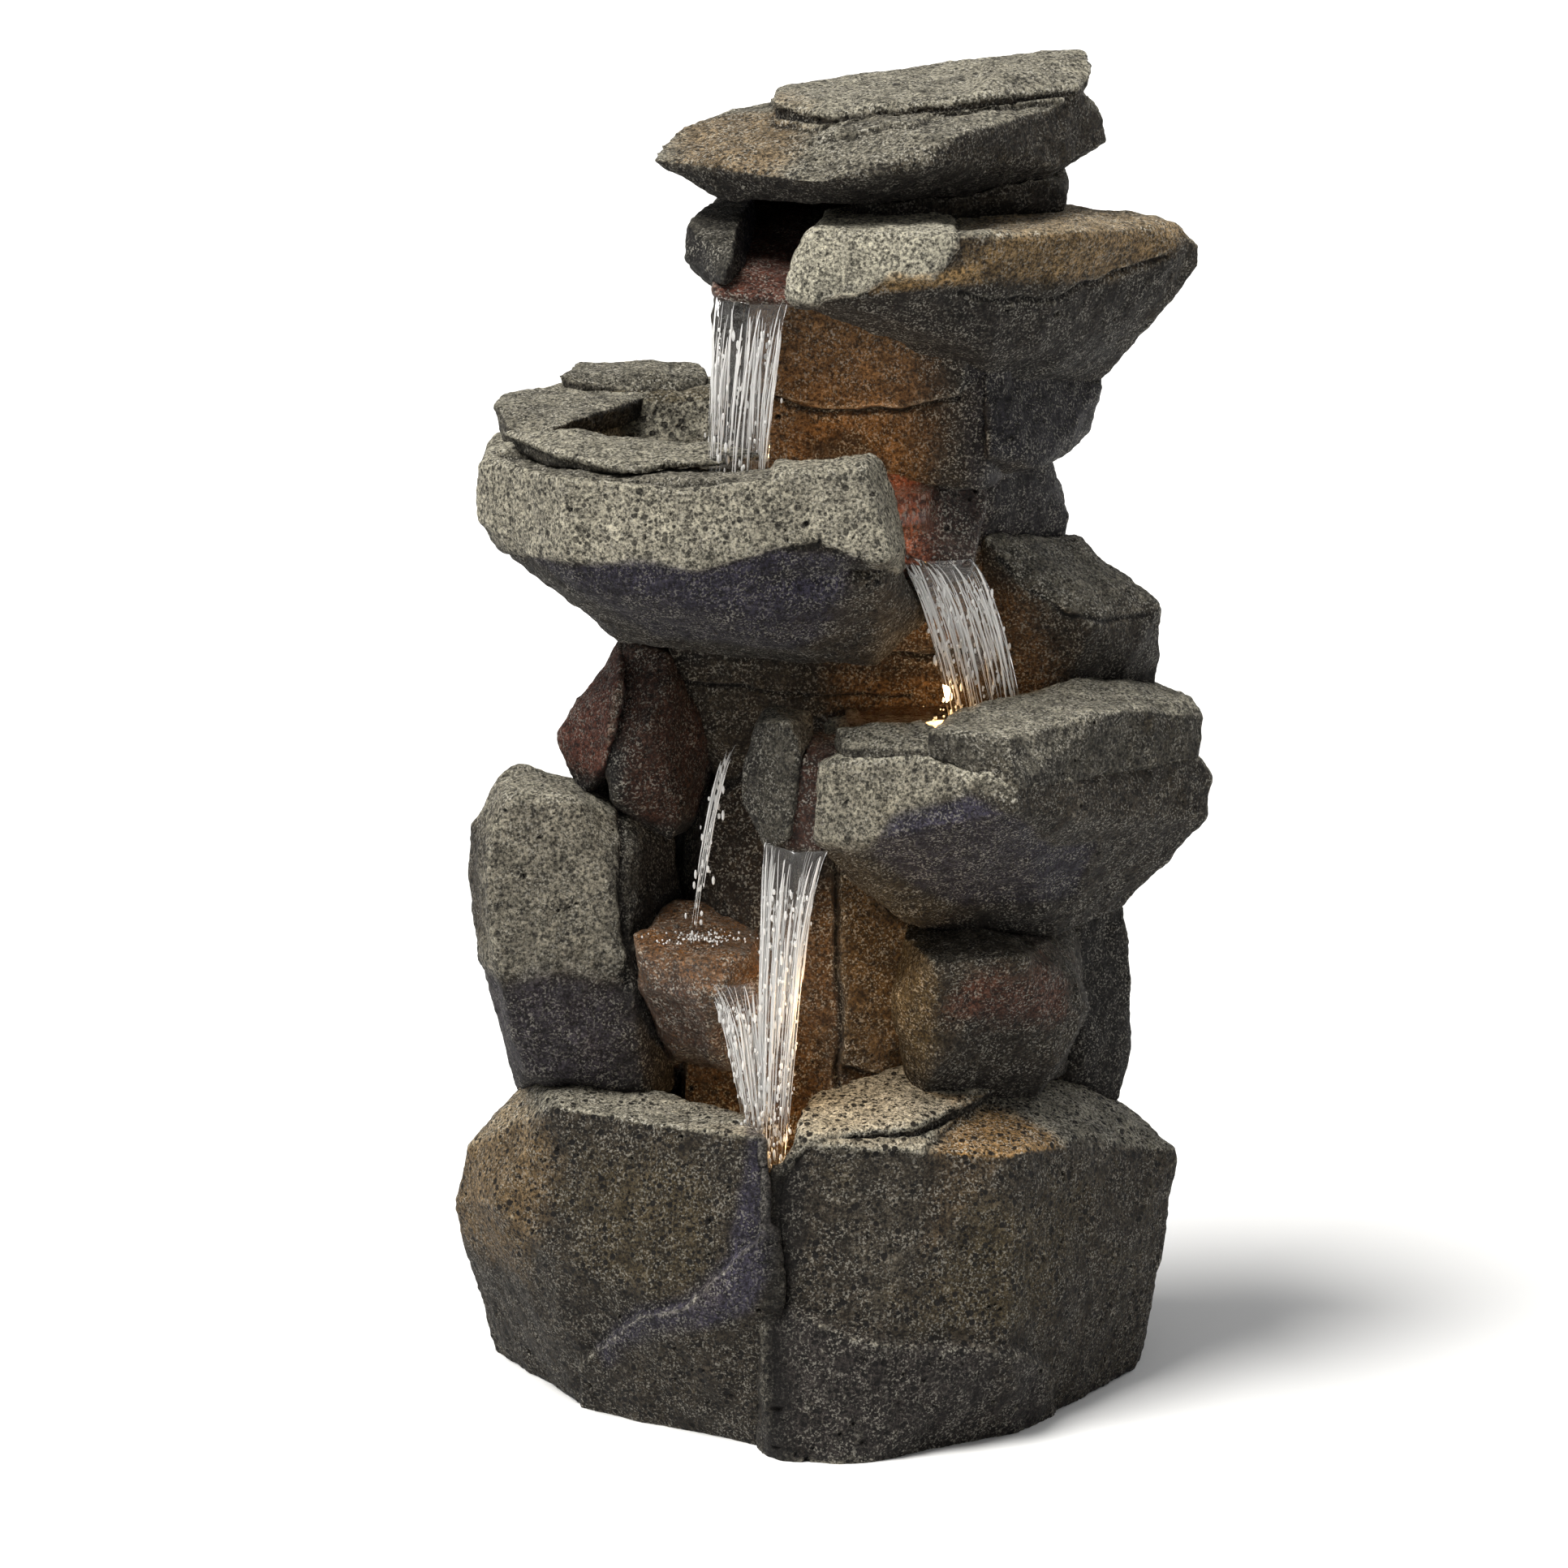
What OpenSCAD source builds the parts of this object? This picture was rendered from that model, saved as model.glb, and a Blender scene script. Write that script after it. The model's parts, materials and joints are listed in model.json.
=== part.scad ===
// Cascading rock fountain: cast hollow stones bonded round a water tub, with a pump, hose and lights inside.
// +X is the viewer's right, +Y the back, +Z up. The origin is on the ground, under the middle of the box.

/* [Stones] */
// Share of each boulder's size that is hollow inside
hollow_share = 0.90; // [0.80:0.01:0.93]
// Share of each column stone's size that is hollow inside
column_hollow_share = 0.86; // [0.80:0.01:0.88]

/* [Tub] */
// Height of the water tub
tub_h = 150; // [125:5:155]
// Wall of the water tub
tub_wall = 4; // [3:0.5:6]

/* [Hose] */
// Outside radius of the riser hose
hose_r = 8.5; // [8:0.1:9]
// Radius of the hose bore
hose_bore_r = 6.5; // [6.4:0.1:7]

/* [Lights] */
// Radius of a light's housing
light_r = 18; // [16:0.5:20]
// Height of a light's housing
light_h = 16; // [14:0.5:20]

/* [Service door] */
// Width of the service door
door_w = 120; // [110:1:124]
// Height of the service door
door_h = 120; // [110:1:124]

/* [Cord outlet] */
// Radius of the cord outlet's bore
outlet_r = 4; // [3:0.1:5]

/* [Hidden] */

fine = 48;
clear = 0.5;
foot_h = 4;
tub_floor = foot_h + tub_wall;
tub_outline = [
    [-60, -158], [30, -168], [110, -140], [175, -55], [190, 0], [190, 90], [130, 155], [-130, 155],
    [-195, 90], [-195, 0], [-165, -70], [-110, -122]
];

// ---------- helpers ----------

// Convex solid through a list of corner points
module block(points) {
    hull() polyhedron(points = points, faces = [[for (i = [0 : len(points) - 1]) i]]);
}

function mean(points) = [for (k = [0 : 2]) [for (p = points) p[k]] * [for (p = points) 1] / len(points)];

function shrunk(points, share) = let (c = mean(points)) [for (p = points) c + share * (p - c)];

// Hollow cast stone; what it is fitted round is given as children and cut away
module casting(points, share = hollow_share) {
    difference() {
        block(points);
        block(shrunk(points, share));
        children();
    }
}

// Flat-ended tube along a list of points
function unit(v) = v / norm(v);
function heading(path, i) = unit(path[min(i + 1, len(path) - 1)] - path[max(i - 1, 0)]);
function side_of(d) = unit(cross(d, abs(d[2]) > 0.9 ? [0, 1, 0] : [0, 0, 1]));
function ring(c, d, r, sides) = let (s = side_of(d), t = cross(d, s))
    [for (k = [0 : sides - 1]) c + r * (cos(360 * k / sides) * s + sin(360 * k / sides) * t)];

module swept(path, r, sides = 8) {
    rings = len(path);
    points = [for (i = [0 : rings - 1]) each ring(path[i], heading(path, i), r, sides)];
    walls = [for (i = [0 : rings - 2]) for (k = [0 : sides - 1])
        let (a = i * sides + k, b = i * sides + (k + 1) % sides) [a, b, b + sides, a + sides]];
    first = [for (k = [sides - 1 : -1 : 0]) k];
    last = [for (k = [0 : sides - 1]) (rings - 1) * sides + k];
    polyhedron(points = points, faces = concat([first], walls, [last]), convexity = 6);
}

// The same with a bore all the way through
module pipe(path, r, bore_r, sides) {
    rings = len(path);
    n = rings * sides;
    points = concat(
        [for (i = [0 : rings - 1]) each ring(path[i], heading(path, i), r, sides)],
        [for (i = [0 : rings - 1]) each ring(path[i], heading(path, i), bore_r, sides)]
    );
    walls = [for (i = [0 : rings - 2]) for (k = [0 : sides - 1])
        let (a = i * sides + k, b = i * sides + (k + 1) % sides) [a, b, b + sides, a + sides]];
    inner = [for (w = walls) [w[3] + n, w[2] + n, w[1] + n, w[0] + n]];
    first = [for (k = [0 : sides - 1]) let (m = (k + 1) % sides) [m, k, k + n, m + n]];
    end = (rings - 1) * sides;
    last = [for (k = [0 : sides - 1]) let (m = (k + 1) % sides) [end + k, end + m, end + m + n, end + k + n]];
    polyhedron(points = points, faces = concat(walls, inner, first, last), convexity = 8);
}

// Smooth route through chosen points
function curve(p, steps = 5) = concat(
    [for (i = [0 : len(p) - 2]) for (s = [0 : steps - 1])
        let (
            t = s / steps,
            a = p[max(i - 1, 0)], b = p[i], c = p[i + 1], d = p[min(i + 2, len(p) - 1)]
        )
        0.5 * (2 * b + (c - a) * t + (2 * a - 5 * b + 4 * c - d) * t * t
            + (3 * b - a - 3 * c + d) * t * t * t)],
    [p[len(p) - 1]]
);

// ---------- stone corner points ----------

column_lower_points = [
    [-112, -45, tub_floor], [105, -50, tub_floor], [-112, -50, 250], [-60, -62, 380], [-95, -30, 440],
    [20, -75, 300], [95, -60, 330], [60, -50, 430], [105, -30, 460], [-60, -30, 470], [60, -30, 480],
    [-118, 120, tub_floor], [110, 120, tub_floor], [-140, 125, 200], [135, 128, 200], [-140, 120, 380],
    [130, 130, 370], [-110, 110, 485], [105, 120, 490], [0, 142, 300], [-60, 140, 180], [60, 140, 180]
];

column_middle_points = [
    [-123, -40, 567], [-90, -38, 516], [-16, -46, 525], [-112, -45, 578], [97, -42, 543], [91, -46, 576],
    [-80, -20, 455], [60, -34, 455], [110, -34, 480], [-124, 30, 585], [-112, 60, 480], [-115, 110, 600],
    [130, 120, 470], [-100, 118, 470], [145, 125, 705], [111, -62, 716], [160, 0, 703], [178, 5, 657],
    [-50, 125, 700], [-60, 20, 690], [20, -64, 690], [0, 138, 580]
];

column_upper_points = [
    [-86, -50, 838], [-88, -45, 700], [-48, -92, 838], [-48, -80, 700], [43, -94, 700], [105, -108, 780],
    [108, -105, 700], [-80, 40, 842], [-84, 40, 690], [150, 130, 840], [165, 110, 700], [-60, 128, 838],
    [-70, 118, 690], [140, -90, 840], [60, -112, 840], [150, -20, 700], [50, 138, 760]
];

front_left_points = [
    [-220, -40, 235], [-175, -35, 245], [-54, -140, 236], [-52, -186, 234], [-205, -110, 238],
    [-272, -20, 182], [-283, -10, 135], [-250, -90, 158], [-278, 20, 90], [-262, 30, 52], [-257, 50, 0],
    [-190, -85, 0], [-120, -135, 0], [-46, -184, 0], [-46, -206, 115], [-130, -172, 110],
    [-205, -128, 125], [-46, -90, 0], [-58, -110, 200], [-150, 50, 0], [-270, 55, 150], [-225, 55, 220]
];

front_right_points = [
    [-38, -130, 240], [-20, -182, 229], [-42, -184, 200], [-44, -192, 160], [45, -80, 242], [85, -40, 245],
    [135, -35, 240], [175, -10, 227], [217, -10, 204], [259, 0, 171], [251, 0, 118], [134, -168, 219],
    [188, -85, 210], [-43, -200, 90], [30, -218, 100], [127, -188, 82], [218, -62, 112], [-44, -184, 0],
    [-36, -217, 0], [15, -220, 0], [130, -150, 0], [202, -50, 0], [231, 0, 0], [238, 50, 0],
    [255, 50, 110], [235, 50, 185], [185, 50, 222], [-44, -90, 0], [120, 50, 0]
];

front_right_flake_points = [
    [-34, -132, 243], [44, -82, 253], [79, -42, 258], [133, -42, 250], [123, -90, 246], [76, -121, 242],
    [59, -166, 236], [-19, -181, 233], [-30, -132, 228], [79, -42, 238], [130, -42, 235], [59, -160, 222]
];

rear_left_points = [
    [-257, 50, 0], [-238, 150, 0], [-150, 205, 0], [-5, 216, 0], [-5, 220, 90], [-5, 196, 166],
    [-140, 214, 75], [-236, 160, 110], [-268, 65, 140], [-225, 60, 210], [-205, 135, 205],
    [-110, 178, 188], [-90, 190, 160], [-5, 150, 168], [-150, 50, 0], [-5, 120, 0]
];

rear_right_points = [
    [238, 50, 0], [222, 140, 0], [140, 200, 0], [-5, 216, 0], [-5, 220, 90], [-5, 196, 166],
    [130, 212, 60], [205, 170, 120], [252, 70, 115], [228, 65, 172], [185, 140, 186], [100, 185, 176],
    [70, 192, 165], [-5, 150, 168], [120, 50, 0], [-5, 120, 0]
];

left_tall_points = [
    [-233, -20, 474], [-242, -35, 470], [-266, -45, 436], [-269, -45, 405], [-263, -50, 350],
    [-252, -50, 300], [-240, -45, 255], [-236, -85, 463], [-195, -92, 465], [-162, -92, 418],
    [-158, -102, 377], [-148, -102, 326], [-140, -85, 240], [-254, -95, 420], [-244, -110, 329],
    [-228, -85, 255], [-188, -20, 462], [-118, -20, 421], [-108, -5, 330], [-108, -10, 225],
    [-235, 70, 440], [-258, 75, 350], [-235, 75, 190], [-125, 65, 420], [-125, 70, 190]
];

right_red_points = [
    [50, -90, 364], [44, -112, 314], [73, -152, 358], [138, -152, 364], [179, -85, 331], [190, -70, 303],
    [165, -90, 262], [74, -132, 272], [60, -90, 235], [150, -70, 235], [60, 0, 372], [180, 10, 345],
    [60, 10, 230], [175, 20, 230]
];

right_rear_points = [
    [218, 35, 352], [226, 40, 306], [224, 45, 236], [215, 35, 190], [185, 0, 350], [188, 0, 240],
    [150, -10, 360], [150, 0, 190], [190, 140, 330], [200, 145, 240], [180, 140, 180], [110, 150, 350],
    [110, 150, 180], [110, 0, 355], [110, 0, 190]
];

cascade_points = [
    [-148, -110, 371], [-102, -60, 368], [-55, -72, 362], [-141, -132, 362], [-88, -152, 336],
    [-50, -132, 342], [-62, -140, 362], [-100, -150, 358], [-120, -90, 270], [-60, -100, 260],
    [-90, -128, 290], [-120, -20, 370], [-50, -20, 364], [-120, -20, 240], [-50, -20, 240], [-148, -60, 330]
];

shard_left_points = [
    [-155, -20, 572], [-204, -20, 498], [-195, -30, 473], [-168, -72, 486], [-155, -62, 551],
    [-150, 40, 560], [-190, 40, 490], [-155, 20, 445], [-185, -40, 455]
];

shard_large_points = [
    [-153, -32, 574], [-122, -46, 564], [-120, -58, 550], [-90, -22, 511], [-103, -42, 500],
    [-112, -66, 440], [-119, -62, 425], [-160, -76, 461], [-170, -64, 487], [-135, -78, 520],
    [-90, 40, 545], [-150, 45, 572], [-92, 40, 425], [-160, 45, 425]
];

middle_bowl_points = [
    [7, -168, 517], [-10, -170, 508], [-16, -176, 456], [10, -180, 449], [36, -192, 463],
    [129, -222, 487], [62, -190, 520], [130, -212, 505], [268, -60, 492], [281, -50, 473],
    [275, -60, 443], [216, -40, 372], [164, -70, 359], [68, -85, 365], [14, -130, 415], [50, -115, 382],
    [255, 70, 496], [262, 60, 446], [190, 80, 372], [60, 60, 368], [5, 40, 420], [0, 20, 518]
];

middle_pool_points = [
    [24, -145, 496], [18, -150, 562], [110, -176, 496], [116, -184, 562], [222, -60, 496],
    [236, -60, 562], [215, 45, 496], [230, 50, 562], [15, 45, 496], [10, 50, 562]
];

finger_points = [
    [-45, -120, 543], [-16, -116, 539], [-57, -142, 535], [-13, -132, 531], [-66, -138, 503],
    [-24, -162, 514], [-64, -142, 473], [-47, -152, 445], [-34, -168, 455], [-32, -158, 539],
    [-52, -92, 535], [-56, -92, 468], [-16, -92, 527], [-30, -100, 448], [-22, -132, 462]
];

middle_rim_slab_points = [
    [1, -148, 534], [64, -140, 537], [84, -172, 533], [66, -192, 526], [7, -172, 522], [1, -148, 518],
    [64, -140, 518], [84, -172, 514], [66, -190, 510], [7, -170, 512]
];

middle_rim_stone_points = [
    [66, -192, 540], [124, -198, 538], [205, -128, 540], [264, -45, 532], [244, 40, 524], [200, 40, 530],
    [181, -50, 546], [140, -92, 546], [88, -130, 542], [66, -192, 522], [130, -216, 500],
    [272, -55, 520], [270, -60, 490], [252, 60, 488], [200, 40, 496], [88, -130, 500]
];

bulge_points = [
    [138, -78, 622], [163, -46, 528], [192, -70, 593], [214, -22, 612], [240, -6, 592], [247, 10, 552],
    [243, 20, 520], [184, 0, 645], [110, -62, 656], [105, -44, 526], [236, 70, 516], [226, 80, 575],
    [165, 90, 626], [110, 60, 650], [110, 60, 510], [170, -30, 505]
];

upper_rim_points = [
    [-252, -80, 713], [-258, -70, 690], [-256, -76, 671], [-235, -86, 641], [-190, -173, 724],
    [-191, -174, 648], [-110, -196, 717], [-39, -203, 729], [18, -193, 732], [20, -202, 685],
    [38, -207, 666], [-97, -205, 673], [-100, -201, 645], [-248, 20, 714], [-240, 30, 650],
    [-100, 78, 728], [-100, 78, 640], [45, -70, 731], [60, -70, 650]
];

upper_belly_points = [
    [-218, -86, 634], [-156, -66, 578], [-92, -198, 634], [-16, -125, 579], [31, -116, 570],
    [40, -195, 655], [-186, -160, 636], [-202, 40, 632], [-140, 70, 580], [60, 60, 580],
    [-60, -180, 608], [70, -80, 600], [60, 60, 650]
];

upper_back_points = [
    [-206, 20, 736], [-150, 28, 736], [-110, 46, 740], [-40, 48, 742], [-40, 100, 743], [-120, 105, 740],
    [-190, 95, 738], [-205, 20, 640], [-40, 50, 640], [-180, 98, 650], [-50, 105, 650], [-100, 70, 590]
];

upper_pool_points = [
    [-190, -60, 668], [-212, -60, 770], [-165, -130, 668], [-172, -142, 770], [-10, -158, 668],
    [0, -174, 770], [60, -120, 668], [70, -130, 770], [80, 40, 668], [90, 55, 770], [-150, 30, 668],
    [-165, 45, 770]
];

upper_chute_points = [
    [14, -80, 712], [18, -116, 702], [92, -76, 713], [40, -124, 650], [100, -112, 645],
    [34, -100, 634], [96, -92, 632], [112, -84, 690], [14, -50, 700], [110, -50, 706], [20, -50, 634]
];

slab_front_points = [
    [-239, -62, 732], [-192, -97, 736], [-51, -147, 732], [-45, -167, 725], [-60, -190, 723],
    [-150, -180, 726], [-197, -140, 730], [-228, -70, 716], [-197, -137, 716], [-150, -172, 714],
    [-55, -180, 712], [-60, -150, 712], [-190, -90, 712]
];

slab_left_points = [
    [-250, 0, 743], [-202, 36, 745], [-150, 34, 744], [-115, 70, 744], [-190, 90, 744], [-244, 40, 744],
    [-244, -16, 722], [-228, -55, 724], [-200, -45, 736], [-185, 60, 712], [-115, 75, 712],
    [-225, -50, 708], [-240, 30, 708]
];

slab_back_points = [
    [-203, 52, 755], [-190, 45, 750], [-161, 85, 758], [-100, 95, 759], [-92, 70, 752], [-94, 62, 741],
    [-140, 48, 741], [-196, 46, 739], [-190, 95, 758], [-185, 100, 738], [-98, 105, 740]
];

shoulder_points = [
    [108, -114, 784], [112, -116, 726], [150, -90, 712], [199, 0, 756], [190, 0, 724], [165, -14, 706],
    [190, 40, 792], [120, -84, 806], [180, 95, 712], [188, 92, 785], [100, -60, 700], [100, 40, 700]
];

tray_points = [
    [-88, -154, 854], [-28, -166, 850], [-88, -120, 862], [-20, -120, 862], [-76, 30, 884],
    [-62, 90, 884], [60, 90, 878], [80, 0, 870], [-84, -152, 846], [-32, -160, 842], [-60, 60, 838],
    [60, 80, 838], [70, 0, 838]
];

cheek_points = [
    [-104, -100, 893], [-107, -106, 870], [-92, -40, 896], [-86, -124, 849], [-80, -162, 860],
    [-74, -150, 876], [-68, -100, 895], [-58, 0, 896], [-60, -100, 848], [-95, -40, 846],
    [-72, 40, 896], [-90, 40, 850], [-52, 40, 850]
];

ledge_points = [
    [-8, -122, 897], [-16, -173, 896], [-31, -184, 856], [4, -189, 850], [61, -190, 862],
    [81, -186, 897], [175, -136, 894], [250, -22, 882], [268, -10, 862], [266, -10, 846],
    [234, -22, 806], [196, 0, 757], [147, -122, 805], [181, 30, 884], [100, -150, 812],
    [228, 60, 862], [200, 100, 838], [40, 110, 880], [180, 92, 876], [190, 90, 760], [60, 120, 800],
    [20, -150, 842], [0, -60, 842], [-4, -60, 893], [130, -60, 760]
];

neck_points = [
    [166, -26, 905], [122, -68, 905], [30, -104, 898], [20, -60, 896], [-70, 10, 890], [-76, 100, 880],
    [60, 112, 880], [160, 90, 880], [170, 20, 920], [150, -50, 925], [40, -90, 920], [-70, 20, 940],
    [-70, 100, 930], [150, 90, 930], [168, -20, 890], [30, -104, 880], [-80, 60, 900]
];

cap_points = [
    [-131, -92, 938], [-125, -60, 944], [-110, -30, 954], [-78, 0, 962], [-11, -173, 934],
    [-86, -102, 912], [-16, -133, 912], [42, -124, 914], [200, 0, 938], [194, 0, 958], [87, -152, 966],
    [70, -165, 945], [179, -24, 974], [160, -62, 928], [150, -20, 908], [-60, 62, 952], [60, 106, 962],
    [170, 80, 970], [184, 70, 938], [-70, 60, 925], [60, 100, 915]
];

cap_flake_points = [
    [-42, -60, 974], [-40, 22, 972], [38, 52, 979], [110, 62, 987], [184, 24, 1000], [186, -10, 985],
    [178, -32, 981], [100, -88, 980], [-5, -96, 969], [-42, -60, 958], [-40, 22, 962], [110, 62, 966],
    [178, 20, 966], [170, -32, 962], [90, -88, 960], [-5, -94, 950]
];

// ---------- tub, hose and lead routes ----------

module tub_block(grow = 0) {
    translate([0, 0, grow > 0 ? -5 : foot_h]) linear_extrude(tub_h - foot_h + (grow > 0 ? foot_h + 5 + grow : 0))
        offset(delta = grow) polygon(tub_outline);
}

// Way left open between the two front boulders for the water to reach the tub
module fall_gap() block([
    [-54, -172, 148], [-34, -172, 148], [-62, -90, 148], [-18, -90, 148], [-56, -176, 260],
    [-26, -176, 260], [-74, -90, 260], [-6, -90, 260]
]);

duct = [30, 60];
duct_r = 34;
pump_z = tub_floor + 39;
pump_y = 57;
hose_route = curve([
    [0, 57, 96], [0, 57, 114], [0, 57, 128], [12, 58, 175], [28, 60, 230], [30, 60, 320], [30, 60, 480], [30, 60, 650],
    [30, 60, 780], [30, 60, 846]
]);

light_places = [[0, -118, 668], [80, -108, 510], [30, -110, tub_floor]];
lead_r = 2.5;
upper_route = curve([
    [0, -103, 676], [2, -88, 676], [6, -66, 677], [14, -30, 668], [20, 20, 640], [14, 50, 600],
    [10, 60, 480], [0, 60, 360], [-40, 60, 310], [-62, 60, 290], [-62, 60, 275], [-62, 60, 262]
]);
middle_route = curve([
    [80, -93, 518], [80, -84, 517], [77, -62, 505], [74, -40, 501], [64, 0, 492], [48, 34, 466], [44, 46, 420],
    [10, 40, 340], [-46, 44, 310], [-62, 46, 290], [-62, 46, 275], [-62, 46, 262]
]);
base_route = curve([
    [30, -95, tub_floor + 8], [30, -88, tub_floor + 8], [34, -78, 20], [45, -62, 36], [45, -36, 42], [48, -10, 70], [20, 10, 110],
    [-40, 34, 160], [-76, 48, 188], [-80, 50, 204], [-80, 50, 216]
]);
pump_route = curve([
    [-25, 10, pump_z + 4], [-42, 14, 58], [-60, 36, 100], [-66, 58, 160], [-66, 66, 192], [-66, 66, 205], [-66, 66, 217]
]);

module lead_bores() {
    for (route = [upper_route, middle_route, base_route]) swept(route, lead_r + 1.5);
}

module duct_bore() {
    translate([duct[0], duct[1], 340]) cylinder(h = 520, r = duct_r, $fn = 12);
}

// ---------- base ----------

module water_tub() color("dimgray") difference() {
    tub_block();
    translate([0, 0, tub_floor]) linear_extrude(tub_h) offset(delta = -tub_wall) polygon(tub_outline);
}

module tub_feet() color("black") for (p = [[-150, 0], [150, 0], [-90, 120], [90, 120], [-40, -130], [50, -130]])
    translate([p[0], p[1], 0]) cylinder(h = foot_h, r1 = 11, r2 = 12, $fn = fine);

module boulder_front_left() color("#5b574f") casting(front_left_points) {
    tub_block(clear);
    fall_gap();
    block(column_lower_points);
}

module boulder_front_right() color("#5a564c") difference() {
    union() {
        block(front_right_points);
        block(front_right_flake_points);
    }
    block(shrunk(front_right_points, hollow_share));
    tub_block(clear);
    fall_gap();
    block(front_left_points);
    block(column_lower_points);
}

module boulder_rear_left() color("#55514a") casting(rear_left_points) {
    tub_block(clear);
    block(front_left_points);
    block(column_lower_points);
}

module boulder_rear_right() color("#55514a") casting(rear_right_points) {
    tub_block(clear);
    block(front_right_points);
    block(rear_left_points);
    block(column_lower_points);
}

// ---------- columns ----------

door_z = 270;
door_y = 128;

module door_opening() {
    translate([0, door_y, door_z]) cube([door_w - 44, 70, door_h - 16], center = true);
}

module door_seat() {
    translate([0, door_y + 28, door_z]) cube([door_w + 1, 60, door_h + 1], center = true);
}

module pump_chamber() {
    translate([-90, -24, -10]) cube([180, 142, 360]);
}
module intake_slots() {
    for (x = [-40, 40]) translate([x, -50, 33]) cube([60, 60, 50], center = true);
}

module column_lower() color("#6b4a2c") {
    difference() {
        block(column_lower_points);
        pump_chamber();
        duct_bore();
        lead_bores();
        door_opening();
        door_seat();
        screw_bores();
        intake_slots();
    }
    translate([-102, 56, 240]) cube([26, 20, 30], center = true);
}

module column_middle() color("#4d463b") difference() {
    block(column_middle_points);
    block(shrunk(column_middle_points, column_hollow_share));
    block(column_lower_points);
    duct_bore();
    lead_bores();
}

module column_upper() color("#7a5228") difference() {
    block(column_upper_points);
    block(shrunk(column_upper_points, column_hollow_share));
    block(column_middle_points);
    duct_bore();
}

// ---------- lower stones ----------

module boulder_left_tall() color("#6d6a61") casting(left_tall_points) {
    tub_block(clear);
    block(front_left_points);
    block(rear_left_points);
    block(column_lower_points);
}

module boulder_right_red() color("#6b3f38") casting(right_red_points) {
    block(front_right_points);
    block(front_right_flake_points);
    block(column_lower_points);
    block(rear_right_points);
}

module boulder_right_rear() color("#3f3c37") casting(right_rear_points) {
    block(front_right_points);
    block(rear_right_points);
    block(column_lower_points);
    block(right_red_points);
    tub_block(clear);
}

module cascade_ledge() color("#8a4f22") difference() {
    block(cascade_points);
    block(column_lower_points);
    block(left_tall_points);
    block(front_left_points);
    hull() {
        translate([-100, -85, 372]) scale([1, 1, 0.5]) sphere(r = 22, $fn = 20);
        translate([-80, -125, 364]) scale([1, 1, 0.5]) sphere(r = 14, $fn = 20);
    }
}

module shard_left() color("#6e3a30") casting(shard_left_points) {
    block(shard_large_points);
    block(left_tall_points);
    block(column_lower_points);
    block(column_middle_points);
}

module shard_large() color("#4b3836") casting(shard_large_points) {
    block(left_tall_points);
    block(column_lower_points);
    block(column_middle_points);
}

// ---------- middle bowl ----------

module middle_bowl() color("#4a4850") difference() {
    block(middle_bowl_points);
    difference() {
        block(middle_pool_points);
        translate([light_places[1][0], light_places[1][1], 480]) cylinder(h = 30, r = 20, $fn = 24);
    }
    block(column_lower_points);
    block(column_middle_points);
    block(right_red_points);
    block(right_rear_points);
    lead_bores();
}

module finger_stone() color("#77746a") casting(finger_points) {
    block(middle_bowl_points);
}

module middle_lip() color("#6e3a26") difference() {
    block([
        [-30, -122, 526], [8, -124, 522], [-28, -158, 514], [2, -162, 512], [-34, -160, 446],
        [-8, -170, 445], [-34, -130, 448], [14, -122, 456]
    ]);
    block(middle_bowl_points);
    block(finger_points);
    block(middle_rim_slab_points);
    block(middle_pool_points);
}

module middle_rim_slab() color("#8b887c") difference() {
    block(middle_rim_slab_points);
    block(middle_bowl_points);
    block(middle_rim_stone_points);
    block(finger_points);
}

module middle_rim_stone() color("#6f6c62") casting(middle_rim_stone_points) {
    block(middle_bowl_points);
    block(column_middle_points);
}

module bulge_stone() color("#66604f") casting(bulge_points) {
    block(middle_bowl_points);
    block(middle_rim_stone_points);
    block(column_middle_points);
    block(column_lower_points);
}

// ---------- upper bowl ----------

module upper_bowl() color("#7f7d73") difference() {
    union() {
        block(upper_rim_points);
        block(upper_belly_points);
        block(upper_back_points);
    }
    block(upper_pool_points);
    block(column_middle_points);
    block(column_upper_points);
    block(shard_large_points);
    block(shard_left_points);
    block(upper_chute_points);
    lead_bores();
}

module upper_chute() color("#9a4a35") difference() {
    block(upper_chute_points);
    block(column_middle_points);
    block(column_upper_points);
}

module upper_slab_front() color("#8a8268") difference() {
    block(slab_front_points);
    block(upper_back_points);
    block(upper_rim_points);
}

module upper_slab_left() color("#69665c") difference() {
    block(slab_left_points);
    block(upper_back_points);
    block(upper_rim_points);
    block(slab_front_points);
}

module upper_slab_back() color("#85837a") difference() {
    block(slab_back_points);
    block(upper_back_points);
    block(slab_left_points);
    block(upper_rim_points);
}

module shoulder_stone() color("#3e3a3e") casting(shoulder_points) {
    block(column_upper_points);
    block(column_middle_points);
}

// ---------- top ----------

module spout_tray() color("#6e3a26") difference() {
    block(tray_points);
    block(column_upper_points);
    block(ledge_points);
    translate([duct[0], duct[1], 830]) cylinder(h = 60, r = 8.8, $fn = fine);
}

module spout_cheek() color("#55534c") casting(cheek_points) {
    block(tray_points);
    block(column_upper_points);
}

module ledge_stone() color("#868478") difference() {
    block(ledge_points);
    block(shrunk(ledge_points, hollow_share));
    block(column_upper_points);
    block(shoulder_points);
    translate([duct[0], duct[1], 820]) cylinder(h = 90, r = 26, $fn = 12);
    block([
        [-30, -100, 858], [-20, 60, 864], [10, 90, 864], [60, 90, 864], [60, 40, 864], [-30, -100, 910],
        [-20, 60, 910], [10, 90, 910], [60, 90, 910], [60, 40, 910]
    ]);
}

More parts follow.
